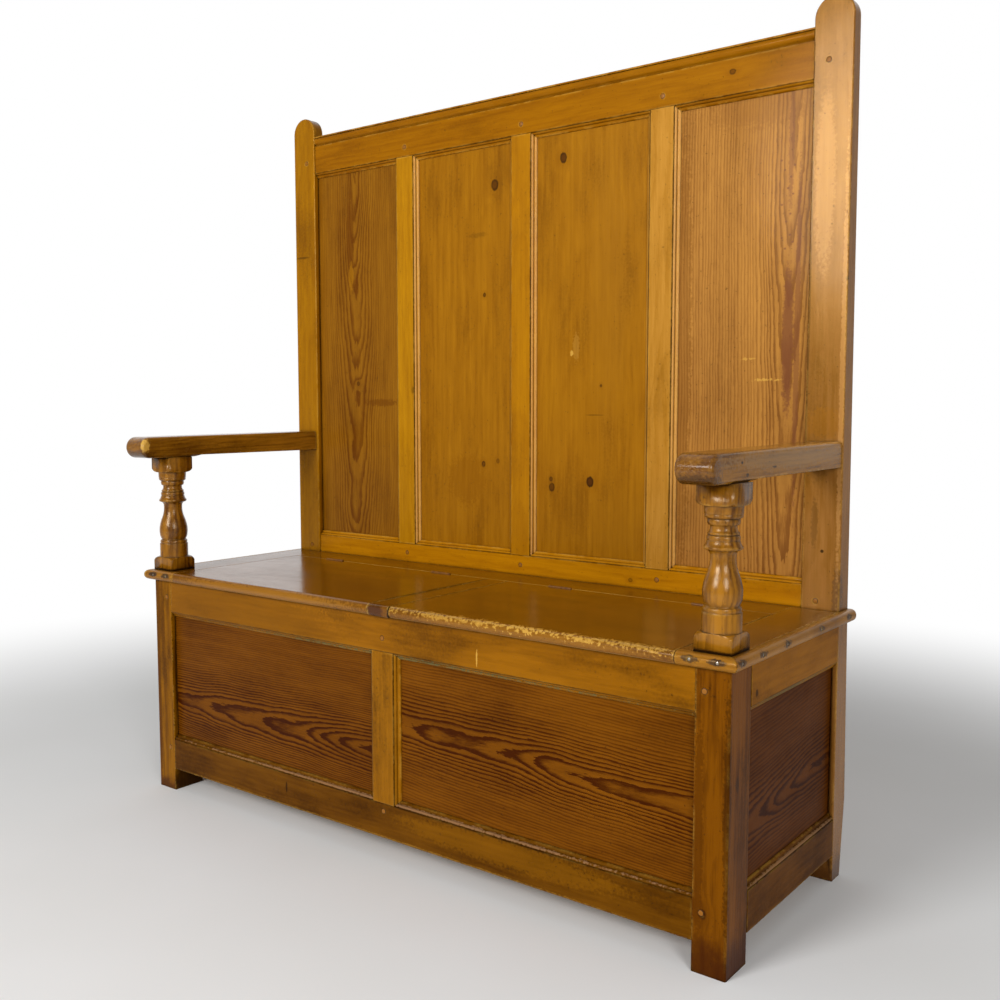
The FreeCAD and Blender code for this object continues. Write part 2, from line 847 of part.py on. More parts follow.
def hinge_screw(place, side, fit):
    way = Vec(0, side, 0)
    radius = hinge_screw_diameter / 2 + fit
    head_radius = hinge_screw_head / 2 + fit
    head = Part.makeCone(head_radius, radius, head_radius - radius, place, way)
    return head.fuse(rod(radius, place, way, hinge_screw_length)).removeSplitter()


def hinge_cuts(side):
    # Recesses for leaves, knuckles and screws in a board's meeting edge.
    cuts = []
    for start in hinge_starts:
        y0, y1 = leaf_faces(side)
        x0 = start - joint_fit
        x1 = start + hinge_length + joint_fit
        low = leaf_low - joint_fit
        if side > 0:
            cuts.append(box(x0, x1, y0 - 1, y1, low, seat_height + 1))
        else:
            cuts.append(box(x0, x1, y0, y1 + 1, low, seat_height + 1))
        room = rod(knuckle_radius + knuckle_room, Vec(x0, hinge_y, seat_height), Vec(1, 0, 0), x1 - x0)
        cuts.append(room)
        cuts += [hinge_screw(p, side, peg_fit) for p in hinge_screw_places(start, side)]
    return cuts


def hinge_leaf(start, side):
    y0, y1 = leaf_faces(side)
    pitch = hinge_length / knuckle_count
    axis = Vec(1, 0, 0)
    first = 0 if side > 0 else 1
    parts = [box(start, start + hinge_length, y0, y1, leaf_low, leaf_top)]
    for i in range(first, knuckle_count, 2):
        x0 = start + i * pitch + knuckle_gap / 2
        x1 = start + (i + 1) * pitch - knuckle_gap / 2
        parts.append(box(x0, x1, y0, y1, leaf_top - 1, seat_height))
        parts.append(rod(knuckle_radius, Vec(x0, hinge_y, seat_height), axis, x1 - x0))
    bore = rod(pin_diameter / 2 + pin_fit, Vec(start - 1, hinge_y, seat_height), axis, hinge_length + 2)
    holes = [hinge_screw(p, side, peg_fit) for p in hinge_screw_places(start, side)]
    return joined(parts).cut([bore] + holes)


def make_hinges():
    nodes["hinge_fixed_leaves"] = Part.makeCompound([hinge_leaf(x, 1) for x in hinge_starts])
    pins = [
        rod(pin_diameter / 2, Vec(x, hinge_y, seat_height), Vec(1, 0, 0), hinge_length)
        for x in hinge_starts
    ]
    nodes["hinge_pins"] = Part.makeCompound(pins)
    screws = [hinge_screw(p, 1, 0) for x in hinge_starts for p in hinge_screw_places(x, 1)]
    nodes["hinge_fixed_screws"] = Part.makeCompound(screws)
    for i, (name, _, _) in enumerate(lids):
        starts = hinge_starts[2 * i:2 * i + 2]
        nodes[name + "_hinge_leaves"] = Part.makeCompound([hinge_leaf(x, -1) for x in starts])
        screws = [hinge_screw(p, -1, 0) for x in starts for p in hinge_screw_places(x, -1)]
        nodes[name + "_hinge_screws"] = Part.makeCompound(screws)


# Bearers under the seat and the floor of the box

def make_inside():
    front = front_face + rail_thickness
    low = seat_under - bearer_height
    x1 = stile_inner
    add_pair("seat_bearer", box(x1 - bearer_width, x1, front, back_face, low, seat_under))
    half = centre_bearer_width / 2
    nodes["seat_centre_bearer"] = box(
        centre_strip_offset - half,
        centre_strip_offset + half,
        front,
        back_face,
        low,
        seat_under,
    )

    inner_face = half_width - rail_thickness
    bearer_top = rail_above_floor + floor_bearer_height
    z = (rail_above_floor, bearer_top)
    side_bearer = box(inner_face - floor_bearer_width, inner_face, post_back, stile_face, *z)
    side_bearer = side_bearer.cut(box(stile_inner, half_width, stile_face, back_face + 1, 0, seat_under))
    centre = floor_bearer_width / 2
    bearers = [mirrored(side_bearer), box(-centre, centre, front, back_face, *z), side_bearer]
    nodes["floor_bearers"] = Part.makeCompound(bearers)

    room = floor_board_gap
    corners = []
    for x0, x1 in ((post_inner - room, half_width), (-half_width, -post_inner + room)):
        corners.append(box(x0, x1, front_face, post_back + room, 0, seat_under))
    for x0, x1 in ((stile_inner - room, half_width), (-half_width, -stile_inner + room)):
        corners.append(box(x0, x1, stile_face - room, back_face + 1, 0, seat_under))
    pitch = (back_face - front) / floor_board_count
    top = bearer_top + floor_board_thickness
    for i, place in enumerate(("front", "middle", "back")):
        y0 = front + i * pitch + (room if i > 0 else 0)
        y1 = front + (i + 1) * pitch
        board = box(-inner_face, inner_face, y0, y1, bearer_top, top)
        nodes["floor_board_" + place] = board.cut(corners)


# Arms and their turned supports

# Turned part, each step as a radius and a height above the seat, with a middle point for curves.
# The widest turns stay just inside the square stock.
turned_steps = (
    ((27.8, 27.0),),
    ((27.8, 54.0),),
    ((26.0, 54.8),),
    ((26.8, 58.2), (26.0, 61.4)),
    ((23.2, 62.6),),
    ((25.9, 67.6), (27.5, 75.0)),
    ((27.9, 81.5), (27.5, 88.0)),
    ((25.6, 97.0), (21.6, 109.0)),
    ((18.9, 118.5), (18.0, 128.0)),
    ((18.2, 133.5),),
    ((20.0, 137.6), (24.0, 140.2)),
    ((26.6, 141.6), (27.0, 144.4)),
    ((24.6, 147.6), (23.2, 152.2)),
    ((22.2, 152.8),),
    ((23.2, 156.4), (22.4, 159.8)),
    ((20.6, 160.6),),
    ((22.0, 162.6), (20.2, 164.8)),
    ((18.7, 168.8), (18.8, 173.6)),
    ((21.4, 174.6),),
    ((22.8, 178.8), (22.4, 182.4)),
    ((21.8, 183.4),),
    ((26.3, 185.8), (26.2, 189.4)),
    ((27.0, 190.4),),
    ((27.4, 201.0),),
)


def shoulder_middle(square, turned, corner):
    # A point of the rounded shoulder between the square stock's corner and the turned part.
    across = corner - (corner - turned.x) * (1 - shoulder_fullness)
    return Vec(across, 0, square.z + (turned.z - square.z) * shoulder_fullness)


def turned_solid():
    # The squares are left by a profile that swings outside the stock's corners.
    corner = support_stock / 2 * math.sqrt(2) + swing_room
    top = support_height
    low_start = support_base_block - shoulder_round
    high_start = turned_steps[-1][-1][1] + shoulder_round
    points = [Vec(0, 0, 0), Vec(corner, 0, 0), Vec(corner, 0, low_start)]
    edges = [Part.makeLine(a, b) for a, b in zip(points, points[1:])]
    here = points[-1]
    first = turned_steps[0][0]
    target = Vec(first[0], 0, first[1])
    bulge = shoulder_middle(points[-1], target, corner)
    edges.append(Part.Arc(here, bulge, target).toShape())
    here = target
    for step in turned_steps[1:]:
        target = Vec(step[-1][0], 0, step[-1][1])
        if len(step) == 2:
            middle = Vec(step[0][0], 0, step[0][1])
            edges.append(Part.Arc(here, middle, target).toShape())
        else:
            edges.append(Part.makeLine(here, target))
        here = target
    end = Vec(corner, 0, high_start)
    bulge = shoulder_middle(end, here, corner)
    edges.append(Part.Arc(here, bulge, end).toShape())
    edges.append(Part.makeLine(end, Vec(corner, 0, top)))
    edges.append(Part.makeLine(Vec(corner, 0, top), Vec(0, 0, top)))
    edges.append(Part.makeLine(Vec(0, 0, top), Vec(0, 0, 0)))
    return face_from(edges).revolve(Vec(0, 0, 0), Vec(0, 0, 1), 360)


def make_supports():
    half = support_stock / 2
    stock = box(-half, half, -half, half, 0, support_height)
    body = stock.common(turned_solid())
    length = support_dowel_down + support_height + support_dowel_up
    dowel = rod(support_dowel / 2, Vec(0, 0, -support_dowel_down), Vec(0, 0, 1), length)
    support = body.fuse(dowel).removeSplitter()
    support.translate(support_centre)
    add_pair("arm_support", support)


def make_arms():
    tip = front_face - arm_overhang
    nose = arm_thickness / 2
    pad_end = front_face + arm_pad_length
    inner = arm_outer - arm_width
    points = [
        Vec(inner, tip + nose, arm_under_front),
        Vec(inner, pad_end, arm_under_front),
        Vec(inner, pad_end + arm_pad_ramp, arm_under_front + arm_pad_depth),
        Vec(inner, stile_face, arm_top_back - arm_thickness),
        Vec(inner, stile_face, arm_top_back),
        Vec(inner, tip + nose, arm_top_front),
    ]
    edges = [Part.makeLine(a, b) for a, b in zip(points, points[1:])]
    edges.append(Part.Arc(points[-1], Vec(inner, tip, arm_mid), points[0]).toShape())
    blank = face_from(edges).extrude(Vec(arm_width, 0, 0))

    def top_and_nose(edge):
        b = edge.BoundBox
        on_side = b.XLength < 0.01
        top_line = b.ZMin > arm_top_front - 1 and b.YLength > arm_pad_length
        nose_arc = b.YMax < tip + nose + 1 and b.ZLength > nose
        return on_side and (top_line or nose_arc)

    blank = rounded(blank, arm_edge_round, top_and_nose)
    hole = dowel_hole(arm_under_front - 1, arm_under_front + support_dowel_up + joint_fit)
    add_pair("arm", blank.fuse(box(*arm_tenon)).removeSplitter().cut(hole))


def export_all():
    os.makedirs("parts", exist_ok=True)
    nodes["joint_pegs"] = Part.makeCompound([peg(place) for place in peg_places])
    nodes["nosing_nails"] = Part.makeCompound(nail_places)
    for name, shape in nodes.items():
        shape.exportStep("parts/" + name + ".step")


make_back()
make_cap()
make_front()
make_sides()
make_seat()
make_hinges()
make_inside()
make_supports()
make_arms()
export_all()
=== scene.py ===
import json
import math
from collections import namedtuple

import bmesh
import bpy
import numpy as np
from bpy.props import FloatProperty, FloatVectorProperty, IntProperty, PointerProperty
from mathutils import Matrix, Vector

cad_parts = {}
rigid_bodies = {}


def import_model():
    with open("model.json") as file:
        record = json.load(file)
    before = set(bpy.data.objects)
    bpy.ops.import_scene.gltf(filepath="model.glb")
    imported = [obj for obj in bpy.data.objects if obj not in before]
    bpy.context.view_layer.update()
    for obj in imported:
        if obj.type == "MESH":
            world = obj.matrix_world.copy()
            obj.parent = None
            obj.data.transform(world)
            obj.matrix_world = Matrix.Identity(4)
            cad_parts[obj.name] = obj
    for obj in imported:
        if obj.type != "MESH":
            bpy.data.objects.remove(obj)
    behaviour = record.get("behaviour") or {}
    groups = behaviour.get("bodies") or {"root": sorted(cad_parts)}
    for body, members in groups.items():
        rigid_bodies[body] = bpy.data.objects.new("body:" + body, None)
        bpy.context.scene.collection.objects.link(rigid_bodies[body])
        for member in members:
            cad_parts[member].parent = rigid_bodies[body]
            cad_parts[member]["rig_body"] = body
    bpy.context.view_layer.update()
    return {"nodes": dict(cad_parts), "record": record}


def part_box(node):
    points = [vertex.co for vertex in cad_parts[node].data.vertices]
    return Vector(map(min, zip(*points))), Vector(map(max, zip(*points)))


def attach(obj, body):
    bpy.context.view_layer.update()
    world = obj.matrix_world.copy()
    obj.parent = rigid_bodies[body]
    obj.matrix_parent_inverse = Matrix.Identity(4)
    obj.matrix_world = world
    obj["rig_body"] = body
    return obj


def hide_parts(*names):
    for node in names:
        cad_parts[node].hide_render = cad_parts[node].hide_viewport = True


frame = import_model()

bl_info = {
    "name": "Pine box settle",
    "version": (1, 0, 0),
    "blender": (4, 5, 0),
    "location": "3D View > Sidebar > Settle",
    "description": "Finishes an old pine box settle: grain, wear, pegs, nails and a plain studio",
    "category": "Object",
}

NODES = frame["nodes"]
MM = 0.001

# Stage, in metres, and the facets of the round fasteners
FLOOR_REACH = 30.0
CAMERA_PLACE = (1.2636, -1.5112, 0.7907)
SENSOR_WIDTH = 36
NAIL_SIDES = 14
SCREW_SIDES = 16


# Colours and sizes that a user may change

def paint(red, green, blue):
    """A screen colour, 0 to 255 each, as the linear values that shaders take."""
    steps = [c / 255 for c in (red, green, blue)]
    return tuple(c / 12.92 if c <= 0.04045 else ((c + 0.055) / 1.055) ** 2.4 for c in steps)


def colour(name, description, red, green, blue):
    return FloatVectorProperty(
        name=name,
        description=description,
        default=paint(red, green, blue),
        subtype="COLOR",
        size=3,
        min=0,
        max=1,
    )


def length(name, description, millimetres):
    return FloatProperty(name=name, description=description, default=millimetres * MM, min=0, unit="LENGTH")


def number(name, description, value):
    return FloatProperty(name=name, description=description, default=value, min=0)


def angle(name, description, degrees):
    return FloatProperty(name=name, description=description, default=math.radians(degrees),
                         subtype="ANGLE")


# Each wood: its name, where it is, and the screen colours of its pale and its dark grain
WOODS = {
    "frame": ("Back frame", "of the high back's frame", (187, 127, 10), (150, 93, 1)),
    "yellow": ("Yellow panels", "of the two middle back panels", (163, 107, 11), (130, 78, 1)),
    "flame": ("Flamed panel", "of the far left back panel", (146, 95, 15), (100, 52, 1)),
    "straight": ("Straight panel", "of the far right back panel", (174, 119, 51), (116, 68, 25)),
    "rail": ("Box rails", "of the box's upper rails and muntin", (149, 95, 7), (117, 71, 1)),
    "low": ("Bottom rails", "of the box's bottom rails", (105, 63, 4), (75, 40, 0)),
    "post": ("Front posts", "of the front posts", (114, 64, 2), (83, 42, 0)),
    "red": ("Box panels", "of the box's pitch pine panels", (119, 70, 10), (61, 22, 0)),
    "side": ("Side panels", "of the box's side panels", (96, 50, 6), (52, 18, 0)),
    "seat": ("Seat", "of the seat boards", (127, 77, 2), (100, 57, 0)),
    "nosing": ("Nosing", "of the rounded nosing", (168, 114, 34), (112, 66, 4)),
    "arm": ("Arms", "of the arms", (160, 106, 19), (104, 61, 3)),
    "turned": ("Supports", "of the turned supports", (167, 111, 22), (93, 51, 3)),
    "bare": ("Bare pine", "inside the box and behind it", (179, 137, 73), (137, 92, 41)),
}


class SETTLE_PG_timber(bpy.types.PropertyGroup):
    streak: colour("Purple streak", "Dark resin streak in the far right back panel", 104, 54, 36)
    # Besides rubbed wood, this colour paints a highlight on the side of the muntins' mouldings that faces the
    # light, and a sheen on the right stile
    moulding: colour("Rubbed moulding", "Pale wood of the mouldings that hands rub", 214, 158, 92)
    amber_wax: colour("Amber wax", "Tint of the shine on the frame and panels", 255, 196, 104)
    clear_wax: colour("Clear wax", "Tint of the shine on the seat, arms and supports", 255, 232, 196)
    worn: colour("Worn wood", "Pale wood that shows on worn edges", 216, 168, 72)
    grey: colour("Greyed wood", "Handled wood that has turned grey-brown", 142, 112, 74)
    # This colour is dark wax and dirt, and also painted shade: in corners, in the grooves beside mouldings
    # and under the rail at the left foot
    grime: colour("Grime", "Dark wax and dirt in corners", 36, 16, 1)
    ink: colour("Iron stain", "Blue-black stain that iron leaves in the wood", 30, 26, 30)
    foot: colour("Feet", "Dark, damp-stained wood at the feet", 60, 22, 3)
    peg: colour("Pegs", "End grain of the pegs", 132, 80, 14)
    old_paint: colour("Old paint", "Traces of an old green paint in the mouldings", 92, 96, 62)
    scuff: colour("Scuffs", "Pale bruises on the base mouldings", 168, 128, 92)


for kind, (title, where, *tones) in WOODS.items():
    for tone, rgb in zip(("pale", "dark"), tones):
        SETTLE_PG_timber.__annotations__[kind + "_" + tone] = colour(
            title + ", " + tone, tone.capitalize() + " wood " + where, *rgb
        )


class SETTLE_PG_sizes(bpy.types.PropertyGroup):
    worn_edge: length("Worn edge", "Width of the rounded, rubbed edge on the boards", 2.4)
    # How far the corners' painted shade and dark wax reach
    wax_and_shade_reach: length("Dirt reach", "How far dark wax spreads out of a corner", 6)
    peg_radius: length("Peg radius", "Radius of the whittled pegs", 4.5)
    peg_length: length("Peg length", "How deep the pegs go", 22.6)
    peg_dome: length("Peg dome", "How far a peg's worn end stands out", 0.5)
    peg_sides: IntProperty(name="Peg sides", description="Facets left by the knife", default=9, min=5)
    nail_radius: length("Nail head radius", "Radius of the nail heads in the nosing", 2.5)
    nail_head: length("Nail head depth", "Thickness of a nail head", 1.6)
    nail_shank: length("Nail shank radius", "Radius of a nail's shank", 1.3)
    nail_length: length("Nail length", "Length of the nails in the nosing", 42)
    nail_dome: length("Nail dome", "Height of a nail head's dome", 0.5)
    screw_radius: length("Screw head radius", "Radius of the hinge screws' countersunk heads", 2.75)
    screw_head: length("Screw head depth", "Thickness of a countersunk head", 1.8)
    screw_shank: length("Screw shank radius", "Radius of a hinge screw's shank", 1.4)
    screw_length: length("Screw length", "Length of the hinge screws", 13)
    screw_slot: length("Screw slot", "Width of the slot in a screw head", 0.7)


class SETTLE_PG_stage(bpy.types.PropertyGroup):
    floor: colour("Floor", "Pale studio floor", 240, 240, 240)
    key_power: number("Key", "Power of the window in front, in watts", 100)
    side_power: number("Side", "Power of the window on the right, in watts", 46)
    sky: number("Sky", "Strength of the even light from all round", 0.36)
    room: number("Room", "How bright the room in front looks in the wax", 0.22)
    lens: number("Lens", "Focal length of the camera on a 36 mm wide frame, in millimetres", 38.81)
    turn: angle("Turn", "How far round to the right of the bench the camera stands", 37.47)
    tip: angle("Tip", "How far down the camera looks", 4.945)


# Sums on sockets, for materials and for geometry

class Value:
    """A socket in a tree, so that sums on it can be written as plain expressions."""

    def __init__(self, graph, socket):
        self.graph = graph
        self.socket = socket

    def calc(self, operation, *others):
        return self.graph.add("ShaderNodeMath", {"operation": operation}, [self, *others])

    def __add__(self, other):
        return self.calc("ADD", other)

    __radd__ = __add__

    def __mul__(self, other):
        return self.calc("MULTIPLY", other)

    __rmul__ = __mul__

    def __sub__(self, other):
        return self.calc("SUBTRACT", other)

    def __rsub__(self, other):
        return self.graph.add("ShaderNodeMath", {"operation": "SUBTRACT"}, [other, self])

    def __truediv__(self, other):
        return self.calc("DIVIDE", other)

    def __pow__(self, other):
        return self.calc("POWER", other)

    def __neg__(self):
        return self.calc("MULTIPLY", -1)

    def __mod__(self, other):
        return self.calc("FLOORED_MODULO", other)


class Graph:
    """A node tree under construction."""

    def __init__(self, tree):
        self.tree = tree

    def add(self, kind, settings=None, inputs=(), out=0):
        """Adds a node: its settings first, then the values or links of its inputs."""
        node = self.tree.nodes.new(kind)
        for key, value in (settings or {}).items():
            setattr(node, key, value)
        pairs = inputs.items() if isinstance(inputs, dict) else enumerate(inputs)
        for key, value in pairs:
            self.feed(node.inputs[key], value)
        return Value(self, node.outputs[out])

    def feed(self, socket, value):
        if isinstance(value, Value):
            self.tree.links.new(value.socket, socket)
        elif socket.type == "RGBA" and len(value) == 3:
            socket.default_value = (*value, 1)
        else:
            socket.default_value = value

    def vector(self, operation, inputs, out=0):
        return self.add("ShaderNodeVectorMath", {"operation": operation}, inputs, out)

    def split(self, vector):
        node = self.tree.nodes.new("ShaderNodeSeparateXYZ")
        self.feed(node.inputs[0], vector)
        return {axis: Value(self, node.outputs[i]) for i, axis in enumerate("xyz")}


class Shader(Graph):
    """A material under construction."""

    def __init__(self, name):
        self.material = bpy.data.materials.new(name)
        self.material.use_nodes = True
        super().__init__(self.material.node_tree)
        self.surface = next(n for n in self.tree.nodes if n.type == "BSDF_PRINCIPLED")

    def set(self, name, value):
        """Sets or links an input of the surface."""
        self.feed(self.surface.inputs[name], value)

    def mix(self, first, second, share):
        """From the first colour at share 0 to the second at share 1."""
        settings = {"data_type": "RGBA", "clamp_factor": True}
        return self.add("ShaderNodeMix", settings, {0: share, 6: first, 7: second}, out=2)

    def step(self, value, low, high):
        """0 below low, 1 above high, smooth between. low may be above high."""
        kind = {"interpolation_type": "SMOOTHSTEP"}
        return self.add("ShaderNodeMapRange", kind, [value, low, high, 0.0, 1.0])

    def cloud(self, place, detail, rough):
        inputs = {"Vector": place, "Scale": 1.0, "Detail": detail, "Roughness": rough}
        return self.add("ShaderNodeTexNoise", None, inputs)

    def noise(self, x, y, z, detail=2.0, rough=0.5):
        """Noise over three sums of their own, for grain that is longer than wide."""
        return self.cloud(self.add("ShaderNodeCombineXYZ", None, [x, y, z]), detail, rough)

    def grain(self, place, size, seed, detail=2.0, rough=0.5):
        """Even noise whose features are about size millimetres across."""
        moved = self.vector("MULTIPLY_ADD", [place, (1 / size,) * 3, (seed, seed * 0.37, -seed)])
        return self.cloud(moved, detail, rough)

    def place(self):
        """Object coordinates in millimetres."""
        here = self.add("ShaderNodeTexCoord", None, (), out="Object")
        return self.vector("MULTIPLY", [here, (1 / MM,) * 3])

    def facing(self):
        """Which way the surface looks, in object axes."""
        return self.add("ShaderNodeTexCoord", None, (), out="Normal")

    def nearness(self, place, centre, radii):
        """Distance from a centre, counted in radii, one for each axis."""
        scale = tuple(1 / r for r in radii)
        shift = tuple(-c / r for c, r in zip(centre, radii))
        moved = self.vector("MULTIPLY_ADD", [place, scale, shift])
        return self.vector("LENGTH", [moved], out="Value")


# Timber

STYLE_KEYS = ("ring", "bend", "wave", "late", "streak", "cloud", "gloss", "shine", "coat", "fade")
Cut = namedtuple("Cut", ("axes", "pith", "lean", "pale", "dark", "wax", *STYLE_KEYS))
Knot = namedtuple("Knot", "x z radius dark")
Mark = namedtuple("Mark", "centre radii tone share ragged", defaults=(0.5,))

# The figure and the wax of each wood, in the order of STYLE_KEYS. ring: one year's growth in mm.
# bend and wave: how far the grain wanders, in mm and in rings. late: contrast of the summerwood.
# streak and cloud: long and broad changes of tone. gloss: roughness. shine: strength of reflections.
# coat: share of a clear coat. fade: how much of the figure is left away from the tree's heart.
STYLES = {
    "frame": (9.0, 34, 1.4, 0.16, 1.1, 1.1, 0.36, 0.28, 0.06, 1.0),
    "yellow": (12.0, 40, 1.6, 0.12, 1.3, 1.15, 0.36, 0.28, 0.05, 1.0),
    "flame": (5.6, 24, 1.0, 0.6, 0.9, 0.9, 0.4, 0.25, 0.04, 0.35),
    "straight": (5.6, 14, 0.8, 0.7, 1.0, 0.7, 0.42, 0.35, 0.06, 0.6),
    "rail": (8.0, 34, 1.4, 0.14, 1.5, 2.4, 0.36, 0.14, 0.03, 1.0),
    "low": (7.0, 30, 1.4, 0.14, 1.4, 2.6, 0.42, 0.08, 0.01, 1.0),
    "post": (7.0, 30, 1.4, 0.25, 3.0, 3.2, 0.38, 0.1, 0.02, 1.0),
    "red": (3.7, 20, 0.8, 0.9, 0.8, 0.9, 0.4, 0.08, 0.01, 0.4),
    "side": (5.0, 22, 0.9, 0.9, 0.6, 0.7, 0.44, 0.06, 0.0, 0.5),
    "seat": (11.0, 40, 1.3, 0.14, 0.9, 1.1, 0.2, 0.4, 0.06, 1.0),
    "nosing": (9.0, 34, 1.3, 0.16, 1.4, 2.0, 0.34, 0.4, 0.08, 1.0),
    "arm": (8.0, 30, 1.4, 0.25, 2.0, 2.0, 0.22, 0.25, 0.55, 1.0),
    "turned": (9.0, 26, 1.0, 0.3, 2.0, 2.4, 0.25, 0.45, 0.12, 1.0),
    "bare": (7.0, 30, 1.4, 0.5, 0.9, 0.9, 0.8, 0.2, 0.0, 1.0),
}

SIDES = (("left", -1), ("right", 1))

# Where the faces lie that marks are put on, in mm from the origin towards the back
BOX_FACE = -194
FRAME_FACE = 206
MOULDING_FACE = 209
PANEL_FACE = 219

# How far in from a worked edge its groove lies and how wide its dark line is, in mm: dark wax and painted
# shade. On an edge that looks left, away from the light, the painted shade sits nearer the edge and is wider.
# It runs the whole length.
QUIRK = (10.4, 1.5)
SHADED_QUIRK = (8.0, 2.4)
WHOLE_LENGTH = 700.0

# Sizes of the broad and the small patches of wear and dirt, in mm, and rays for the edge effects
BLOTCH = 33.0
SPECK = 4.5
RAYS = 4


def cut(kind, axes, pith, lean, **changes):
    """How a board was sawn: its grain axes (along, across, through) and where the tree's heart lay."""
    palette = bpy.context.scene.settle_timber
    wax = palette.clear_wax if kind in ("turned", "arm", "seat") else palette.amber_wax
    shade = changes.pop("shade", (1.0, 1.0, 1.0))
    tones = {
        tone: tuple(c * f for c, f in zip(getattr(palette, kind + "_" + tone), shade))
        for tone in ("pale", "dark")
    }
    style = {**dict(zip(STYLE_KEYS, STYLES[kind])), **changes}
    return Cut(axes=axes, pith=pith, lean=lean, wax=wax, **tones, **style)


def timber(s, board, centre, seed, place, knots):
    """Colour, height, summerwood and cloud of a sawn board."""
    palette = bpy.context.scene.settle_timber
    here = s.split(place)
    middle = dict(zip("xyz", (c / MM for c in centre)))
    along, across, deep = (here[axis] - middle[axis] for axis in board.axes)

    # Distance from the tree's heart, which wanders and bulges round knots, cut into rings
    slow = s.noise(along * 0.0024 + seed, across * 0.004, deep * 0.004, 2.0)
    sway = s.noise(along * 0.0042, across * 0.005 + seed, deep * 0.005 + 3.7, 2.0)
    side = across - board.pith[0] - along * board.lean[0] + (slow - 0.5) * board.bend * 1.4
    depth = deep - board.pith[1] - along * board.lean[1] + (sway - 0.5) * board.bend
    reach = (side * side + depth * depth) ** 0.5
    cores = []
    for knot in knots:
        far = s.nearness(place, knot_centre(board, knot, middle), knot_radii(board, knot))
        reach = reach + s.step(far, 4.5, 0.0) * knot.radius * 1.4
        cores.append((knot, far))
    wave = s.noise(along * 0.012, across * 0.04, deep * 0.04 + seed, 3.0)
    ragged = s.noise(along * 0.06, across * 0.35, deep * 0.35 + seed, 2.0)
    spacing = s.noise(reach * 0.04, seed, 0.0, 1.0)
    turn = (reach / board.ring + (wave - 0.5) * board.wave + (ragged - 0.5) * 0.5 + spacing * 2.4) % 1.0
    late = s.step(turn, 0.3, 0.8) * s.step(turn, 1.0, 0.9)
    near = s.step(side.calc("ABSOLUTE"), abs(board.pith[1]) * 2.0 + 24.0, 20.0)
    late = late * (near * (1.0 - board.fade) + board.fade)

    # Fibres and clouds, which only change the tone
    fibre = s.noise(along * 0.006, across * 0.14, deep * 0.14 + seed, 4.0, 0.62)
    fine = s.noise(along * 0.04, across * 1.6, deep * 1.6 + seed, 2.0, 0.6)
    cloud = s.noise(along * 0.005, across * 0.014, deep * 0.014 + seed * 2, 4.0, 0.6)
    plain = 0.46 - board.late * 0.3
    share = late * board.late + (fibre - 0.5) * board.streak + (fine - 0.5) * 0.35 + plain
    share = share + (cloud - 0.5) * board.cloud
    tone = s.mix(board.pale, board.dark, share)
    for knot, far in cores:
        halo = s.step(far, 3.2, 1.0) * 0.35
        core = s.step(far + (ragged - 0.5) * 0.5, 1.15, 0.8)
        rim = core * s.step(far, 0.45, 0.85)
        tone = s.mix(tone, board.dark, halo)
        tone = s.mix(tone, palette.foot, core * knot.dark)
        tone = s.mix(tone, palette.grime, rim * knot.dark * 0.8)
    height = late * min(board.late, 0.6) + fibre * 0.5 + fine * 0.5
    return tone, height, late, cloud


def knot_centre(board, knot, middle):
    across = board.axes[1] if board.axes[0] == "z" else board.axes[0]
    place = {**middle, across: knot.x, "z": knot.z}
    return tuple(place[axis] for axis in "xyz")


def knot_radii(board, knot):
    """A knot is longer than wide and goes right through the board."""
    long, wide, thick = board.axes
    radii = {long: knot.radius * 1.25, wide: knot.radius, thick: 60.0}
    return tuple(radii[axis] for axis in "xyz")


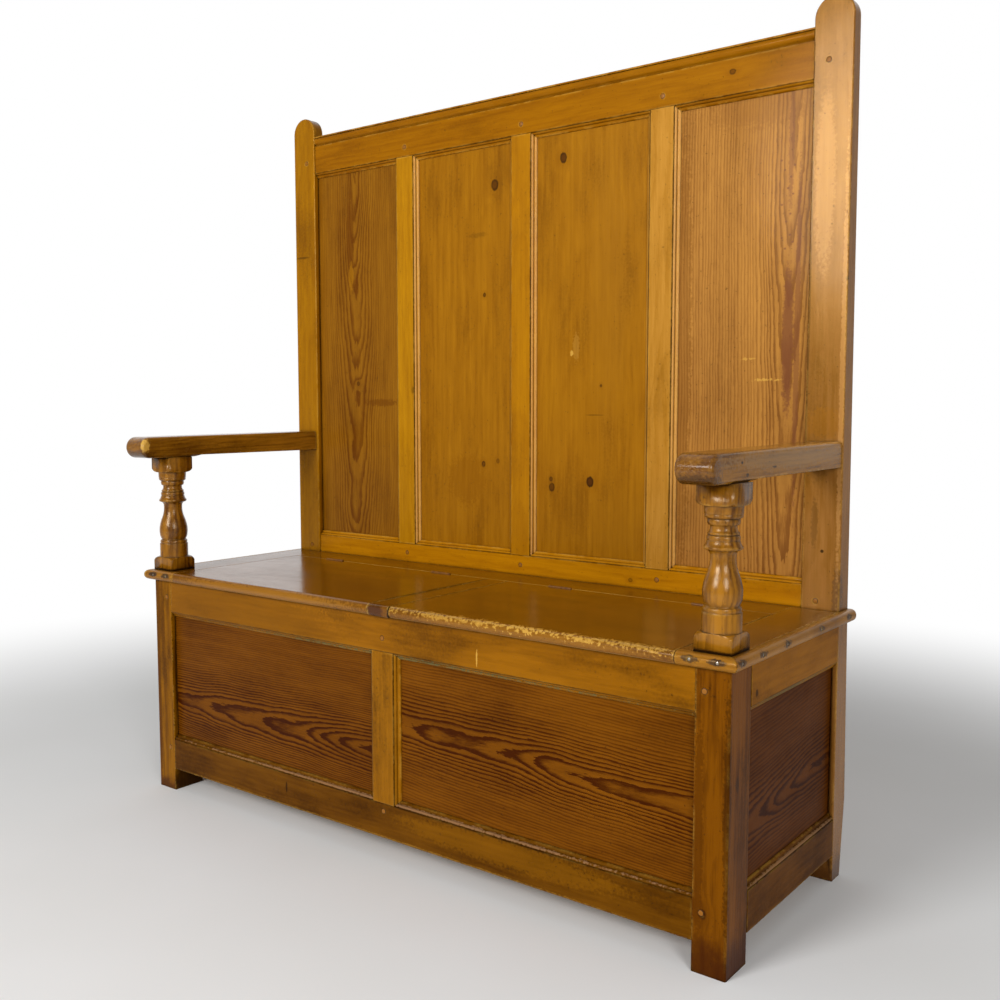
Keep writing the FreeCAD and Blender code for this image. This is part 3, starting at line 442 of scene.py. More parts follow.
def finish_wood(name, node, board, seed, knots=(), marks=(), feet=0.0, wear=0.5, nicks=0.0, dirt=0.65,
                bump=0.3, bare=None, pebble=None, rubbed_side=None):
    """A whole board's material: timber, rubbed edges, dark corners of dark wax and painted shade, marks and
    wax.

    feet: how high the damp rises, in mm. wear, nicks and dirt: shares of pale edges, chips and dark
    corners, where the corners' darkness is painted shade together with dark wax. bare: the side without wax.
    pebble: an axis, and where along it the dents start and are
    full. rubbed_side: the axis that the mouldings look along; faces that look that way get a pale tone that
    is rubbed wood and a painted highlight, and the flats get a painted shade.
    """
    low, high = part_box(node)
    palette, sizes = bpy.context.scene.settle_timber, bpy.context.scene.settle_sizes
    s = Shader(name)
    place = s.place()
    tone, height, late, cloud = timber(s, board, (low + high) / 2, seed, place, knots)
    here = s.split(place)
    blotch = s.grain(place, BLOTCH, seed, 4.0, 0.65)
    speck = s.grain(place, SPECK, seed, 2.0, 0.5)

    # Old dirt in the wax
    stained = s.step(cloud + (speck - 0.5) * 0.35, 0.5, 0.72) * board.cloud * 0.13
    tone = s.mix(tone, palette.grime, stained)

    # A side that never saw wax
    raw = 0.0
    if bare:
        side = s.split(s.facing())
        raw = s.step(side[bare[-1]] * (-1 if bare[0] == "-" else 1), 0.6, 0.9)
        unwaxed = s.mix(palette.bare_pale, palette.bare_dark, late * 0.5 + (cloud - 0.5) * 0.8 + 0.3)
        tone = s.mix(tone, unwaxed, raw)

    # Mouldings: faces that look along the given axis get the pale moulding tone, rubbed wood and a painted
    # highlight in one, and faces that look straight along it are darkened as painted shade
    if rubbed_side:
        side = s.split(s.facing())[rubbed_side]
        tone = s.mix(tone, palette.moulding, s.step(side, 0.06, 0.3) * (0.55 + (speck - 0.5) * 0.6))
        tone = s.mix(tone, palette.grime, s.step(side.calc("ABSOLUTE"), 0.985, 0.998) * 0.3)

    # Damp feet
    if feet:
        damp = s.step(here["z"] + (blotch - 0.5) * feet * 1.6, feet, feet * 0.2)
        tone = s.mix(tone, palette.foot, damp * 0.8)

    for mark in marks:
        far = s.nearness(place, mark.centre, mark.radii)
        spot = s.step(far + (blotch * 0.6 + speck * 1.4 - 1.0) * mark.ragged, 1.0, 0.6)
        tone = s.mix(tone, getattr(palette, mark.tone), spot * mark.share)

    # Edges, rubbed pale and chipped
    bevel = s.add("ShaderNodeBevel", {"samples": RAYS}, {"Radius": sizes.worn_edge})
    inside = {"samples": RAYS, "inside": True, "only_local": True}
    solid = s.add("ShaderNodeAmbientOcclusion", inside, {"Distance": sizes.worn_edge * 1.6}, out="AO")
    edge = s.step(solid, 0.93, 0.6)
    rubbed = edge * s.step(blotch + (speck - 0.5) * 0.3, 0.42, 0.6)
    tone = s.mix(tone, palette.worn, rubbed * wear)
    if nicks:
        chips = edge * s.step(speck + (blotch - 0.5) * 0.3, 0.5, 0.6)
        tone = s.mix(tone, palette.grime, chips * nicks)

    # Corners darkened by ambient occlusion, a painted shade together with dark wax, and pits filled with dark
    # wax
    near = {"samples": RAYS}
    open_air = s.add("ShaderNodeAmbientOcclusion", near, {"Distance": sizes.wax_and_shade_reach}, out="AO")
    corner_wax_and_shade = s.step(open_air + (blotch - 0.5) * 0.2, 0.88, 0.46)
    tone = s.mix(tone, palette.grime, corner_wax_and_shade * dirt)
    pits = s.step(speck, 0.69, 0.75)
    tone = s.mix(tone, palette.grime, pits * 0.45)

    rough = board.gloss + (cloud - 0.5) * 0.2 + corner_wax_and_shade * 0.25 + (blotch - 0.5) * 0.12 + rubbed * 0.1
    height = height + (blotch - 0.5) * 1.6 - pits * 1.5 - rubbed * (speck - 0.3) * 1.5
    if pebble:
        axis, start, full = pebble
        height = height + s.step(here[axis], start, full) * s.grain(place, 3.0, seed, 2.0) * 9.0
    relief = {"Strength": bump, "Distance": 0.0006, "Height": height, "Normal": bevel}
    s.set("Base Color", tone)
    s.set("Roughness", rough + raw * 0.4)
    s.set("Specular IOR Level", board.shine)
    s.set("Specular Tint", board.wax)
    s.set("Coat Weight", (1.0 - corner_wax_and_shade) * (1.0 - raw) * board.coat)
    s.set("Coat Roughness", 0.12)
    s.set("Coat IOR", 1.45)
    s.set("Normal", s.add("ShaderNodeBump", None, relief))
    return s.material


# Meshes

def dress(node, material):
    mesh = NODES[node].data
    mesh.materials.clear()
    mesh.materials.append(material)


def slot_of(node):
    for entry in frame["record"]["subparts"]:
        if entry["node"] == node:
            return entry["material_slot"]
    raise ValueError("no slot for " + node)


def stand_in(name, mesh, node, material):
    """A finished mesh that stands for a CAD node and rides where it rides."""
    mesh.name = name
    mesh.materials.clear()
    mesh.materials.append(material)
    piece = bpy.data.objects.new(name, mesh)
    bpy.context.scene.collection.objects.link(piece)
    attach(piece, NODES[node]["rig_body"])
    slot_of(node)
    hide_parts(node)


def plain_mesh(mesh, modify):
    """The mesh that a modifier makes of another, with the modifier gone."""
    holder = bpy.data.objects.new("holder", mesh)
    bpy.context.scene.collection.objects.link(holder)
    modify(holder)
    graph = bpy.context.evaluated_depsgraph_get()
    made = bpy.data.meshes.new_from_object(
        holder.evaluated_get(graph), preserve_all_data_layers=True, depsgraph=graph
    )
    holder.modifiers.clear()
    bpy.data.objects.remove(holder)
    return made


def welded(node):
    """A CAD node's triangles as one closed surface."""
    shape = bmesh.new()
    shape.from_mesh(NODES[node].data)
    bmesh.ops.remove_doubles(shape, verts=shape.verts, dist=0.01 * MM)
    return shape


def smooth_copy(node, name, material, crease):
    """A welded copy of a node whose rounded edges shade smoothly while its flats stay flat."""
    shape = welded(node)
    mesh = bpy.data.meshes.new(name)
    shape.to_mesh(mesh)
    shape.free()
    mesh.polygons.foreach_set("use_smooth", [True] * len(mesh.polygons))
    mesh.set_sharp_from_angle(angle=math.radians(crease))

    def by_area(holder):
        weighted = holder.modifiers.new("by_area", "WEIGHTED_NORMAL")
        weighted.mode = "FACE_AREA"
        weighted.keep_sharp = True

    stand_in(name, plain_mesh(mesh, by_area), node, material)


def flat(name, node, board, seed, **finish):
    """Finishes a flat board: the CAD mesh with a material of its own."""
    dress(node, finish_wood(name, node, board, seed, **finish))


def rounded(piece, name, node, board, seed, crease=30, **finish):
    """Finishes a rounded board: a smoothed copy of the CAD mesh with a material of its own."""
    smooth_copy(node, piece, finish_wood(name, node, board, seed, **finish), crease)


def islands(node):
    """The lowest and highest corner of each loose piece of a node."""
    shape = welded(node)
    seen = set()
    found = []
    for start in shape.verts:
        if start.index in seen:
            continue
        seen.add(start.index)
        group, queue = [], [start]
        while queue:
            vert = queue.pop()
            group.append(vert.co.copy())
            for other in (edge.other_vert(vert) for edge in vert.link_edges):
                if other.index not in seen:
                    seen.add(other.index)
                    queue.append(other)
        places = np.array(group)
        found.append((Vector(places.min(0)), Vector(places.max(0))))
    shape.free()
    return found


# Pegs, nails and screws: one small shape, set at each place and turned to face out

FASTENER_SOCKETS = {
    "Geometry": "Geometry", "Head radius": "Float", "Foot radius": "Float", "Head depth": "Float",
    "Dome": "Float", "Sides": "Int", "Shank radius": "Float", "Length": "Float", "Slot": "Float",
    "Seed": "Int", "Material": "Material",
}


def fastener_tree(name, shank, slot):
    """A tree that sets a peg, nail or screw at each vertex, along its "facing" attribute."""
    tree = bpy.data.node_groups.new(name, "GeometryNodeTree")
    for title, kind in FASTENER_SOCKETS.items():
        tree.interface.new_socket(title, in_out="INPUT", socket_type="NodeSocket" + kind)
    tree.interface.new_socket("Geometry", in_out="OUTPUT", socket_type="NodeSocketGeometry")
    g = Graph(tree)
    start = tree.nodes.new("NodeGroupInput")
    given = {title: Value(g, start.outputs[title]) for title in FASTENER_SOCKETS}

    def peg(top, foot, depth, fills):
        sizes = {"Vertices": given["Sides"], "Fill Segments": fills, "Radius Top": top,
                 "Radius Bottom": foot, "Depth": depth}
        shape = g.add("GeometryNodeMeshCone", {"fill_type": "TRIANGLE_FAN"}, sizes)
        down = g.add("ShaderNodeCombineXYZ", None, {"Z": -depth})
        return g.add("GeometryNodeTransform", None, {"Geometry": shape, "Translation": down})

    shape = peg(given["Head radius"], given["Foot radius"], given["Head depth"], 3)
    spot = g.add("GeometryNodeInputPosition")
    ring = g.vector("LENGTH", [g.vector("MULTIPLY", [spot, (1.0, 1.0, 0.0)])], out="Value")
    rim = ring / given["Head radius"]
    on_top = g.split(spot)["z"].calc("GREATER_THAN", -0.01 * MM)
    lift = g.add("ShaderNodeCombineXYZ", None, {"Z": given["Dome"] * (1.0 - rim * rim) * on_top})
    stored = {"Geometry": shape, "Name": "rim", "Value": rim}
    shape = g.add("GeometryNodeStoreNamedAttribute", {"data_type": "FLOAT", "domain": "POINT"}, stored)
    shape = g.add("GeometryNodeSetPosition", None, {"Geometry": shape, "Offset": lift})
    if slot:
        size = {"X": given["Head radius"] * 2.2, "Y": given["Slot"], "Z": given["Slot"] * 1.6}
        bar = g.add("GeometryNodeMeshCube", None, {"Size": g.add("ShaderNodeCombineXYZ", None, size)})
        cutting = {"Mesh 1": shape, "Mesh 2": bar}
        shape = g.add("GeometryNodeMeshBoolean", {"operation": "DIFFERENCE", "solver": "EXACT"}, cutting)
    if shank:
        below = given["Length"] - given["Head depth"]
        stem = peg(given["Shank radius"], given["Shank radius"] * 0.5, below, 1)
        drop = g.add("ShaderNodeCombineXYZ", None, {"Z": -given["Head depth"]})
        stem = g.add("GeometryNodeTransform", None, {"Geometry": stem, "Translation": drop})
        both = tree.nodes.new("GeometryNodeJoinGeometry")
        g.feed(both.inputs[0], stem)
        g.feed(both.inputs[0], shape)
        shape = Value(g, both.outputs[0])

    facing = g.add("GeometryNodeInputNamedAttribute", {"data_type": "FLOAT_VECTOR"}, {"Name": "facing"})
    aimed = g.add("FunctionNodeAlignRotationToVector", {"axis": "Z"}, {"Vector": facing})
    points = {"Points": given["Geometry"], "Instance": shape, "Rotation": aimed}
    placed = g.add("GeometryNodeInstanceOnPoints", None, points)
    spread = {"Min": (0.0, 0.0, 0.0), "Max": (0.0, 0.0, 2 * math.pi), "Seed": given["Seed"]}
    spin = g.add("FunctionNodeRandomValue", {"data_type": "FLOAT_VECTOR"}, spread)
    placed = g.add("GeometryNodeRotateInstances", None, {"Instances": placed, "Rotation": spin})
    real = g.add("GeometryNodeRealizeInstances", None, {"Geometry": placed})
    real = g.add("GeometryNodeSetMaterial", None, {"Geometry": real, "Material": given["Material"]})
    g.feed(tree.nodes.new("NodeGroupOutput").inputs["Geometry"], real)
    return tree


def fasteners(name, node, tree, values, heads, material):
    """Sets the tree's shape at each head, a place and a direction, as one piece for the node."""
    mesh = bpy.data.meshes.new(name + "_places")
    mesh.from_pydata([place for place, _ in heads], [], [])
    facing = mesh.attributes.new("facing", "FLOAT_VECTOR", "POINT")
    facing.data.foreach_set("vector", [c for _, way in heads for c in way])
    sockets = {item.name: item.identifier for item in tree.interface.items_tree if item.in_out == "INPUT"}

    def set_heads(holder):
        modifier = holder.modifiers.new("heads", "NODES")
        modifier.node_group = tree
        for title, value in {**values, "Material": material}.items():
            modifier[sockets[title]] = value

    stand_in(name, plain_mesh(mesh, set_heads), node, material)


# Marks that several boards share, and the operators: one for each group of pieces

def quirk_wax_and_shade(node, axis, edges, share=0.6):
    """Dark wax and painted shade along the groove beside each worked edge of a muntin or a rail."""
    low, high = (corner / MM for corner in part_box(node))
    k = "xyz".index(axis)
    lines = []
    for edge in edges:
        inset, width = SHADED_QUIRK if axis == "x" and edge < 0 else QUIRK
        centre, radii = list((low + high) / 2), [WHOLE_LENGTH] * 3
        centre[k] = high[k] - inset if edge > 0 else low[k] + inset
        radii[k] = width
        lines.append(Mark(tuple(centre), tuple(radii), "grime", share))
    return tuple(lines)


def marks_on(face, *rows):
    """Marks on a face that looks forward. A row: x, z, radii, tone, share and how ragged."""
    return tuple(Mark((x, face, z), *rest) for x, z, *rest in rows)


class SETTLE_OT_back_frame(bpy.types.Operator):
    """Finishes the stiles, rails and muntins of the high back"""

    bl_idname = "settle.back_frame"
    bl_label = "Back frame"

    def execute(self, context):
        marks = {
            "left": marks_on(FRAME_FACE, (-622, 1130, (26, 30, 3), "grime", 0.5)),
            "right": marks_on(
                FRAME_FACE,
                (645, 995, (5, 5, 4), "grime", 0.9, 0.1),
                (614, 554, (3.5, 4, 3.5), "grime", 0.95, 0.1),
                (600, 600, (7, 20, 45), "grime", 0.3, 0.9),
                (640, 480, (9, 20, 60), "ink", 0.45, 0.9),
                (612, 765, (40, 20, 30), "frame_dark", 0.3, 0.9),
                # The two pale moulding-tone marks below are a painted sheen on the right stile
                (640, 850, (5, 6, 420), "moulding", 0.35, 0.8),
                (604, 1150, (20, 20, 170), "moulding", 0.3, 0.5),
                (582, 1000, (3, 20, 420), "grime", 0.5, 0.6),
            ),
        }
        # The right stile's blue is raised ninefold, painting the pale sheen of the light into its colour
        stiles = (("left", (0.78, 0.76, 0.3), 0.04), ("right", (0.61, 0.61, 9.0), 0.14))
        for i, (side, shade, coat) in enumerate(stiles):
            board = cut("frame", "zxy", (40.0 - 80.0 * i, 70.0), (0.01, 0.02), shade=shade, gloss=0.24,
                        shine=0.42, coat=coat, streak=1.4, cloud=1.4)
            rounded("stile_" + side, "stile_pine_" + side, "back_stile_" + side, board, 11.0 + i,
                    marks=marks[side], feet=60.0, wear=0.45, nicks=0.25)

        # The top rail and the cap are painted darker than the lower rails: painted shade
        upper, lower = (0.7, 0.61, 0.2), (0.97, 0.9, 0.3)
        rails = (
            ("back_top_rail", upper, (-1,), (Knot(438, 1352, 5, 0.6),)),
            ("back_seat_rail", lower, (1,), (Knot(250, 470, 4, 0.4),)),
            ("back_bottom_rail", lower, (), ()),
            ("back_cap_moulding", upper, (), ()),
        )
        for i, (node, shade, edges, knots) in enumerate(rails):
            board = cut("frame", "xzy", (-60.0 + 20.0 * i, 55.0), (0.012, 0.02), shade=shade, gloss=0.42,
                        shine=0.14)
            flat(node + "_pine", node, board, 21.0 + i, knots=knots, marks=quirk_wax_and_shade(node, "z", edges),
                 wear=0.35, dirt=0.85)

        # The right muntin's blue is raised tenfold, painting the pale sheen near the back's right side into
        # its colour
        muntins = {"left": (0.98, 1.02, 0.8), "centre": (0.9, 0.86, 0.5), "right": (1.0, 1.08, 10.0)}
        for i, (place, shade) in enumerate(muntins.items()):
            node = "back_muntin_" + place
            board = cut("frame", "zxy", (30.0 * (i - 1), 60.0), (0.015, 0.03), shade=shade)
            marks = quirk_wax_and_shade(node, "x", (-1, 1), 0.7)
            if place == "left":
                marks += marks_on(MOULDING_FACE, (-289, 826, (5, 20, 9), "grime", 0.4, 0.8))
            flat(node + "_pine", node, board, 31.0 + i, marks=marks, wear=0.35, dirt=0.85, rubbed_side="x")
        return {"FINISHED"}


class SETTLE_OT_back_panels(bpy.types.Operator):
    """Finishes the back's four panels: a flamed one, two yellow ones and a straight-grained one"""

    bl_idname = "settle.back_panels"
    bl_label = "Back panels"

    def execute(self, context):
        marks = marks_on(
            PANEL_FACE,
            (-482, 1160, (13, 20, 120), "flame_dark", 0.7, 0.5),
            (-480, 1080, (9, 20, 40), "frame_pale", 0.3, 0.6),
            (-390, 800, (60, 20, 9), "flame_dark", 0.6, 1.2),
        )
        board = cut("flame", "zxy", (-7.0, 34.0), (0.01, -0.075))
        flat("panel_flamed", "back_panel_far_left", board, 3.0, knots=(Knot(-461, 842, 4, 0.5),), marks=marks)

        knots = (Knot(-76, 1230, 9, 0.75), Knot(-102, 1015.5, 3.6, 0.7), Knot(-105, 674, 5, 0.7),
                 Knot(-68, 681, 4, 0.4))
        marks = marks_on(
            PANEL_FACE,
            (-118, 1136, (28, 20, 6), "grime", 0.25, 1.3),
            (-150, 640, (60, 20, 60), "yellow_dark", 0.5, 0.9),
        )
        board = cut("yellow", "zxy", (60.0, 60.0), (0.02, 0.06))
        flat("panel_yellow_left", "back_panel_mid_left", board, 5.0, knots=knots, marks=marks)

        knots = (Knot(89, 1260, 8, 0.85), Knot(153, 648, 8, 0.9), Knot(65, 634, 7, 0.7),
                 Knot(63, 650, 4, 0.6), Knot(176, 830, 2.6, 0.8))
        marks = marks_on(
            PANEL_FACE,
            (163, 775, (26, 20, 1.5), "grime", 0.45, 0.2),
            (110, 893, (4, 20, 7), "worn", 0.6, 0.9),
            (120, 905, (9, 20, 30), "worn", 0.15, 1.2),
            (190, 1000, (50, 20, 300), "flame_pale", 0.35, 1.2),
        )
        board = cut("yellow", "zxy", (-30.0, 60.0), (0.02, 0.06))
        flat("panel_yellow_right", "back_panel_mid_right", board, 6.0, knots=knots, marks=marks)

        wormholes = ((530, 1180), (541, 1168), (536, 1150), (545, 1140), (526, 1124), (541, 1108),
                     (534, 1096), (541, 1074), (527, 1070), (546, 1062), (533, 1052), (524, 1196),
                     (547, 1186))
        marks = marks_on(
            PANEL_FACE,
            (541, 900, (12, 20, 150), "streak", 0.8, 0.6),
            (541, 1230, (6, 20, 130), "streak", 0.6, 0.6),
            (557, 900, (6, 20, 340), "streak", 0.6, 0.6),
            (503, 836, (26, 20, 3), "worn", 0.5, 2.2),
            (470, 872, (16, 20, 2), "worn", 0.4, 2.2),
            # Darker along the left edge beside the muntin, painted shade with dirt, and in a band right under
            # the top rail, painted shade
            (345, 900, (22, 20, 480), "flame_dark", 0.4, 1.0),
            (490, 1290, (120, 20, 40), "straight_dark", 0.35, 1.0),
            *((x, z, (2.6, 20, 2.2), "streak", 0.75, 0.3) for x, z in wormholes),
        )
        board = cut("straight", "zxy", (86.0, 24.0), (0.005, -0.05))
        flat("panel_straight", "back_panel_far_right", board, 8.0, marks=marks)
        return {"FINISHED"}


class SETTLE_OT_box(bpy.types.Operator):
    """Finishes the posts, rails and panels of the box"""

    bl_idname = "settle.box"
    bl_label = "Box"

    def execute(self, context):
        post_shades = {"left": (1.5, 1.85, 0.8), "right": (1.0, 1.0, 0.6)}
        post_knots = {"left": (), "right": (Knot(608, 87, 7, 0.6),)}
        post_marks = {
            "left": (
                # The inner face of the left foot, under the rail, is painted nearly black: painted shade
                Mark((-592, -150, 20), (4, 60, 44), "grime", 0.9, 0.2),
                Mark((-640, BOX_FACE, 150), (8, 9, 200), "post_dark", 0.7, 0.9),
            ),
            "right": (
                Mark((645, -168, 273), (12, 6, 14), "grime", 0.6, 0.5),
                Mark((643, BOX_FACE, 230), (7, 9, 190), "grime", 0.5, 1.2),
                Mark((600, BOX_FACE, 200), (9, 9, 200), "post_dark", 0.7, 0.9),
            ),
        }
        panels = {
            "left": cut("red", "xzy", (-48.0, 40.0), (0.0, -0.045), shade=(0.86, 0.8, 0.5)),
            "right": cut("red", "xzy", (2.0, 34.0), (-0.04, -0.03), ring=4.3, shade=(0.95, 0.9, 0.6)),
        }
        for i, (side, way) in enumerate(SIDES):
            board = cut("post", "zxy", (50.0 * way, 60.0), (0.02, 0.02), shade=post_shades[side])
            rounded("post_" + side, "post_pine_" + side, "front_post_" + side, board, 41.0 + i,
                    knots=post_knots[side], marks=post_marks[side], feet=30.0 + 40.0 * i, wear=0.28,
                    nicks=0.8, bare="y")
            flat("front_panel_pine_" + side, "front_panel_" + side, panels[side], 51.0 + 2 * i, wear=0.1,
                 bare="y")

            inward = "-x" if way > 0 else "x"
            board = cut("side", "yzx", (-34.0, 30.0 * -way), (0.05, 0.07), ring=5.6)
            flat("side_panel_pine_" + side, "side_panel_" + side, board, 55.0 + i, wear=0.1, bare=inward)
            x = 645.0 * way
            rails = (
                ("top", "rail", -1, (Mark((x, 30, 367), (9, 230, 6), "old_paint", 0.7, 1.3),
                                     Mark((x, -109, 389), (8, 6, 7), "grime", 0.75, 0.5))),
                ("bottom", "low", 1, (Mark((x, 30, 109), (9, 230, 3), "scuff", 0.5, 1.2),)),
            )
            for j, (level, kind, edge, marks) in enumerate(rails):
                node = "side_" + level + "_rail_" + side
                board = cut(kind, "yzx", (40.0, 60.0), (0.02, 0.02), shade=(1.05, 1.0, 0.6), shine=0.06,
                            coat=0.0)
                flat(node + "_pine", node, board, 61.0 + 2 * i + j,
                     marks=marks + quirk_wax_and_shade(node, "z", (edge,)), wear=0.25, bare=inward)

        rails = (
            ("front_top_rail", "rail", (0.92, 0.88, 0.7), -1, marks_on(
                BOX_FACE,
                (0, 366, (640, 9, 6), "old_paint", 0.75, 1.3),
                (207, 392, (2.0, 9, 17), "worn", 0.6, 0.8),
                (-400, 400, (330, 9, 70), "rail_dark", 0.5, 0.8),
                (-110, 425, (40, 9, 12), "grime", 0.25, 1.4),
            )),
            ("front_bottom_rail", "low", (1.0, 1.0, 1.0), 1, marks_on(
                BOX_FACE,
                (0, 110, (640, 9, 3), "scuff", 0.5, 1.2),
                (-250, 80, (3, 9, 12), "grime", 0.8, 0.4),
                (-60, 46, (560, 9, 2.5), "worn", 0.14, 1.5),
                (260, 84, (260, 9, 26), "rail_pale", 0.3, 0.5),
            )),
        )
        for i, (node, kind, shade, edge, marks) in enumerate(rails):
            board = cut(kind, "xzy", (-40.0 + 90.0 * i, 50.0), (0.012, 0.015), shade=shade)
            flat(node + "_pine", node, board, 71.0 + i, marks=marks + quirk_wax_and_shade(node, "z", (edge,)),
                 wear=0.18, nicks=0.4, dirt=0.85, bare="y")
        node = "front_muntin"
        board = cut("rail", "zxy", (20.0, 60.0), (0.02, 0.02))
        flat(node + "_pine", node, board, 75.0, marks=quirk_wax_and_shade(node, "x", (-1, 1)), bare="y", wear=0.25)
        return {"FINISHED"}


class SETTLE_OT_inside(bpy.types.Operator):
    """Finishes the bare boards inside the box and behind it"""

    bl_idname = "settle.inside"
    bl_label = "Inside boards"

    def execute(self, context):
        groups = {
            "xyz": ("floor_board_front", "floor_board_middle", "floor_board_back"),
            "xzy": ("box_back_board_lower", "box_back_board_upper"),
            "yxz": ("seat_bearer_left", "seat_bearer_right", "seat_centre_bearer", "floor_bearers",
                    "lid_left_battens", "lid_right_battens"),
        }
        seed = 81.0
        for axes, nodes in groups.items():
            for node in nodes:
                seed += 1.3
                board = cut("bare", axes, (20.0, 30.0), (0.01, 0.03))
                flat(node + "_bare", node, board, seed, wear=0.15, dirt=0.4, bump=0.5)
        return {"FINISHED"}


class SETTLE_OT_seat(bpy.types.Operator):
    """Finishes the lids, the fixed seat boards and the rounded nosing"""

    bl_idname = "settle.seat"
    bl_label = "Seat"

    def execute(self, context):
        boards = {
            "lid_left": "xyz", "lid_right": "xyz", "seat_back_strip": "xyz",
            "seat_centre_strip": "yxz", "seat_end_board_left": "yxz", "seat_end_board_right": "yxz",
        }
        marks = {
            "lid_left": (
                Mark((-290, -209, 446), (290, 16, 14), "nosing_pale", 0.45, 1.0),
                Mark((-21.5, -40, 450), (10, 190, 30), "grime", 0.95, 0.3),
            ),
            "lid_right": (
                Mark((300, -209, 446), (290, 16, 14), "nosing_pale", 0.3, 1.0),
                Mark((190, -206, 455), (200, 8, 6), "worn", 0.42, 4.2),
                Mark((430, -206, 455), (170, 8, 6), "worn", 0.4, 4.2),
                Mark((29.5, -40, 450), (6, 190, 30), "grime", 0.8, 0.4),
            ),
            "seat_centre_strip": (
                Mark((-3, -209, 446), (22, 14, 30), "foot", 0.85, 0.3),
                Mark((28, -215, 446), (3, 20, 30), "grime", 0.9, 0.2),
                Mark((-20, -40, 450), (10, 180, 30), "grime", 0.95, 0.5),
            ),
            # A pale line along the back strip's front edge: wear, with a painted highlight on the eased edge
            "seat_back_strip": (Mark((0, 126, 457), (600, 2.2, 4), "worn", 0.8, 0.4),),
        }
        for i, (node, axes) in enumerate(boards.items()):
            board = cut("seat", axes, (-60.0 + 14.0 * i, -90.0), (0.01, 0.02))
            rounded(node + "_board", node + "_pine", node, board, 101.0 + i, marks=marks.get(node, ()),
                    wear=0.5, bump=0.12, bare="-z")

        nails_x, nails_y = (589, 631), (-189, -122, -37, 94, 218)
        for i, (side, way) in enumerate(SIDES):
            stains = {
                "front": tuple(Mark((x * way, -211, 449), (17, 12, 6), "ink", 0.85, 0.9) for x in nails_x),
                "side": tuple(Mark((662 * way, y, 449), (12, 17, 6), "ink", 0.8, 1.0) for y in nails_y),
            }
            for place, axes, seed in (("front", "xyz", 111.0), ("side", "yxz", 115.0)):
                node = place + "_nosing_" + side
                board = cut("nosing", axes, (-20.0, -70.0), (0.01, 0.02))
                rounded(node + "_board", node + "_pine", node, board, seed + i, marks=stains[place], wear=0.5,
                        nicks=0.3)
        return {"FINISHED"}


class SETTLE_OT_arms(bpy.types.Operator):
    """Finishes the arms and their turned supports"""

    bl_idname = "settle.arms"
    bl_label = "Arms and supports"

    def execute(self, context):
        for i, (side, way) in enumerate(SIDES):
            marks = (
                Mark((643 * way, 10, 716), (10, 250, 16), "grey", 0.45, 1.6),
                Mark((643 * way, -20, 735), (6, 240, 3), "worn", 0.5, 1.4),
                Mark((615 * way, -256, 706), (60, 34, 34), "foot", 0.42 if way > 0 else 0.3, 1.0),
                Mark((615 * way, -250, 690), (50, 40, 16), "grime", 0.6, 0.6),
                Mark((643 * way, -168, 716), (3, 4, 3), "grime", 0.8, 0.8),
                Mark((643 * way, -150, 698), (3, 5, 3), "grime", 0.8, 0.8),
                Mark((643 * way, -60, 706), (3, 9, 2), "grime", 0.7, 0.8),
            )
            if way < 0:
                marks += (Mark((-586, -248, 715), (9, 12, 16), "worn", 0.85, 0.9),)
            board = cut("arm", "yxz", (30.0, -50.0), (0.02, 0.03))
            rounded("arm_rest_" + side, "arm_wood_" + side, "arm_" + side, board, 121.0 + i, marks=marks,
                    wear=0.6, nicks=0.3, bump=0.5, pebble=("y", -222.0, -246.0))
            board = cut("turned", "zxy", (24.0, 40.0), (0.03, 0.03), shade=(0.85, 0.83, 0.75))
            rounded("turned_support_" + side, "turned_wood_" + side, "arm_support_" + side, board, 125.0 + i,
                    crease=40, wear=0.35, nicks=0.5, dirt=1.0, bump=0.35)
        return {"FINISHED"}


def heads_of(node, look, inset=0.0):
    """The place of each loose piece's head, the inset below its tip, and the way it looks."""
    heads = []
    for low, high in islands(node):
        place, way = (low + high) / 2, look(low, high)
        k = 0 if way.x else 1
        place[k] = (high if way[k] > 0 else low)[k] - way[k] * inset
        heads.append((place, way))
    return heads


def peg_wood(palette):
    """End grain of the pegs, with dirt round the rim."""
    s = Shader("peg_wood")
    rim = s.add("ShaderNodeAttribute", {"attribute_name": "rim"}, (), out="Fac")
    grain = s.grain(s.place(), 1.1, 2.0, 3.0)
    tone = s.mix(palette.peg, palette.frame_dark, grain)
    tone = s.mix(tone, palette.grime, s.step(rim + (grain - 0.5) * 0.3, 0.72, 1.0) * 0.85)
    s.set("Base Color", tone)
    s.set("Roughness", grain * 0.3 + 0.3)
    s.set("Specular IOR Level", 0.3)
    return s.material


def nail_iron():
    """Iron that feet and hands keep bright in the middle of each head."""
    s = Shader("nail_iron")
    rim = s.add("ShaderNodeAttribute", {"attribute_name": "rim"}, (), out="Fac")
    rust = s.grain(s.place(), 1.4, 5.0, 4.0)
    dull = s.step(rim + (rust - 0.5) * 0.8, 0.75, 1.0)
    s.set("Base Color", s.mix(paint(168, 158, 142), paint(44, 30, 22), dull))
    s.set("Metallic", 1.0 - dull * 0.7)
    s.set("Roughness", rust * 0.3 + dull * 0.3 + 0.15)
    return s.material


def browned_iron(palette):
    """Iron under old wax, scratched bare in places."""
    s = Shader("browned_iron")
    place = s.place()
    patch = s.grain(place, 6.0, 9.0, 4.0)
    scratch = s.grain(place, 1.2, 4.0, 3.0)
    tone = s.mix(palette.seat_pale, palette.seat_dark, s.step(patch, 0.4, 0.6))
    s.set("Base Color", s.mix(tone, paint(120, 104, 84), s.step(scratch, 0.62, 0.7) * 0.6))
    s.set("Metallic", s.step(scratch, 0.58, 0.7) * 0.8)
    s.set("Roughness", patch * 0.4 + 0.25)
    return s.material


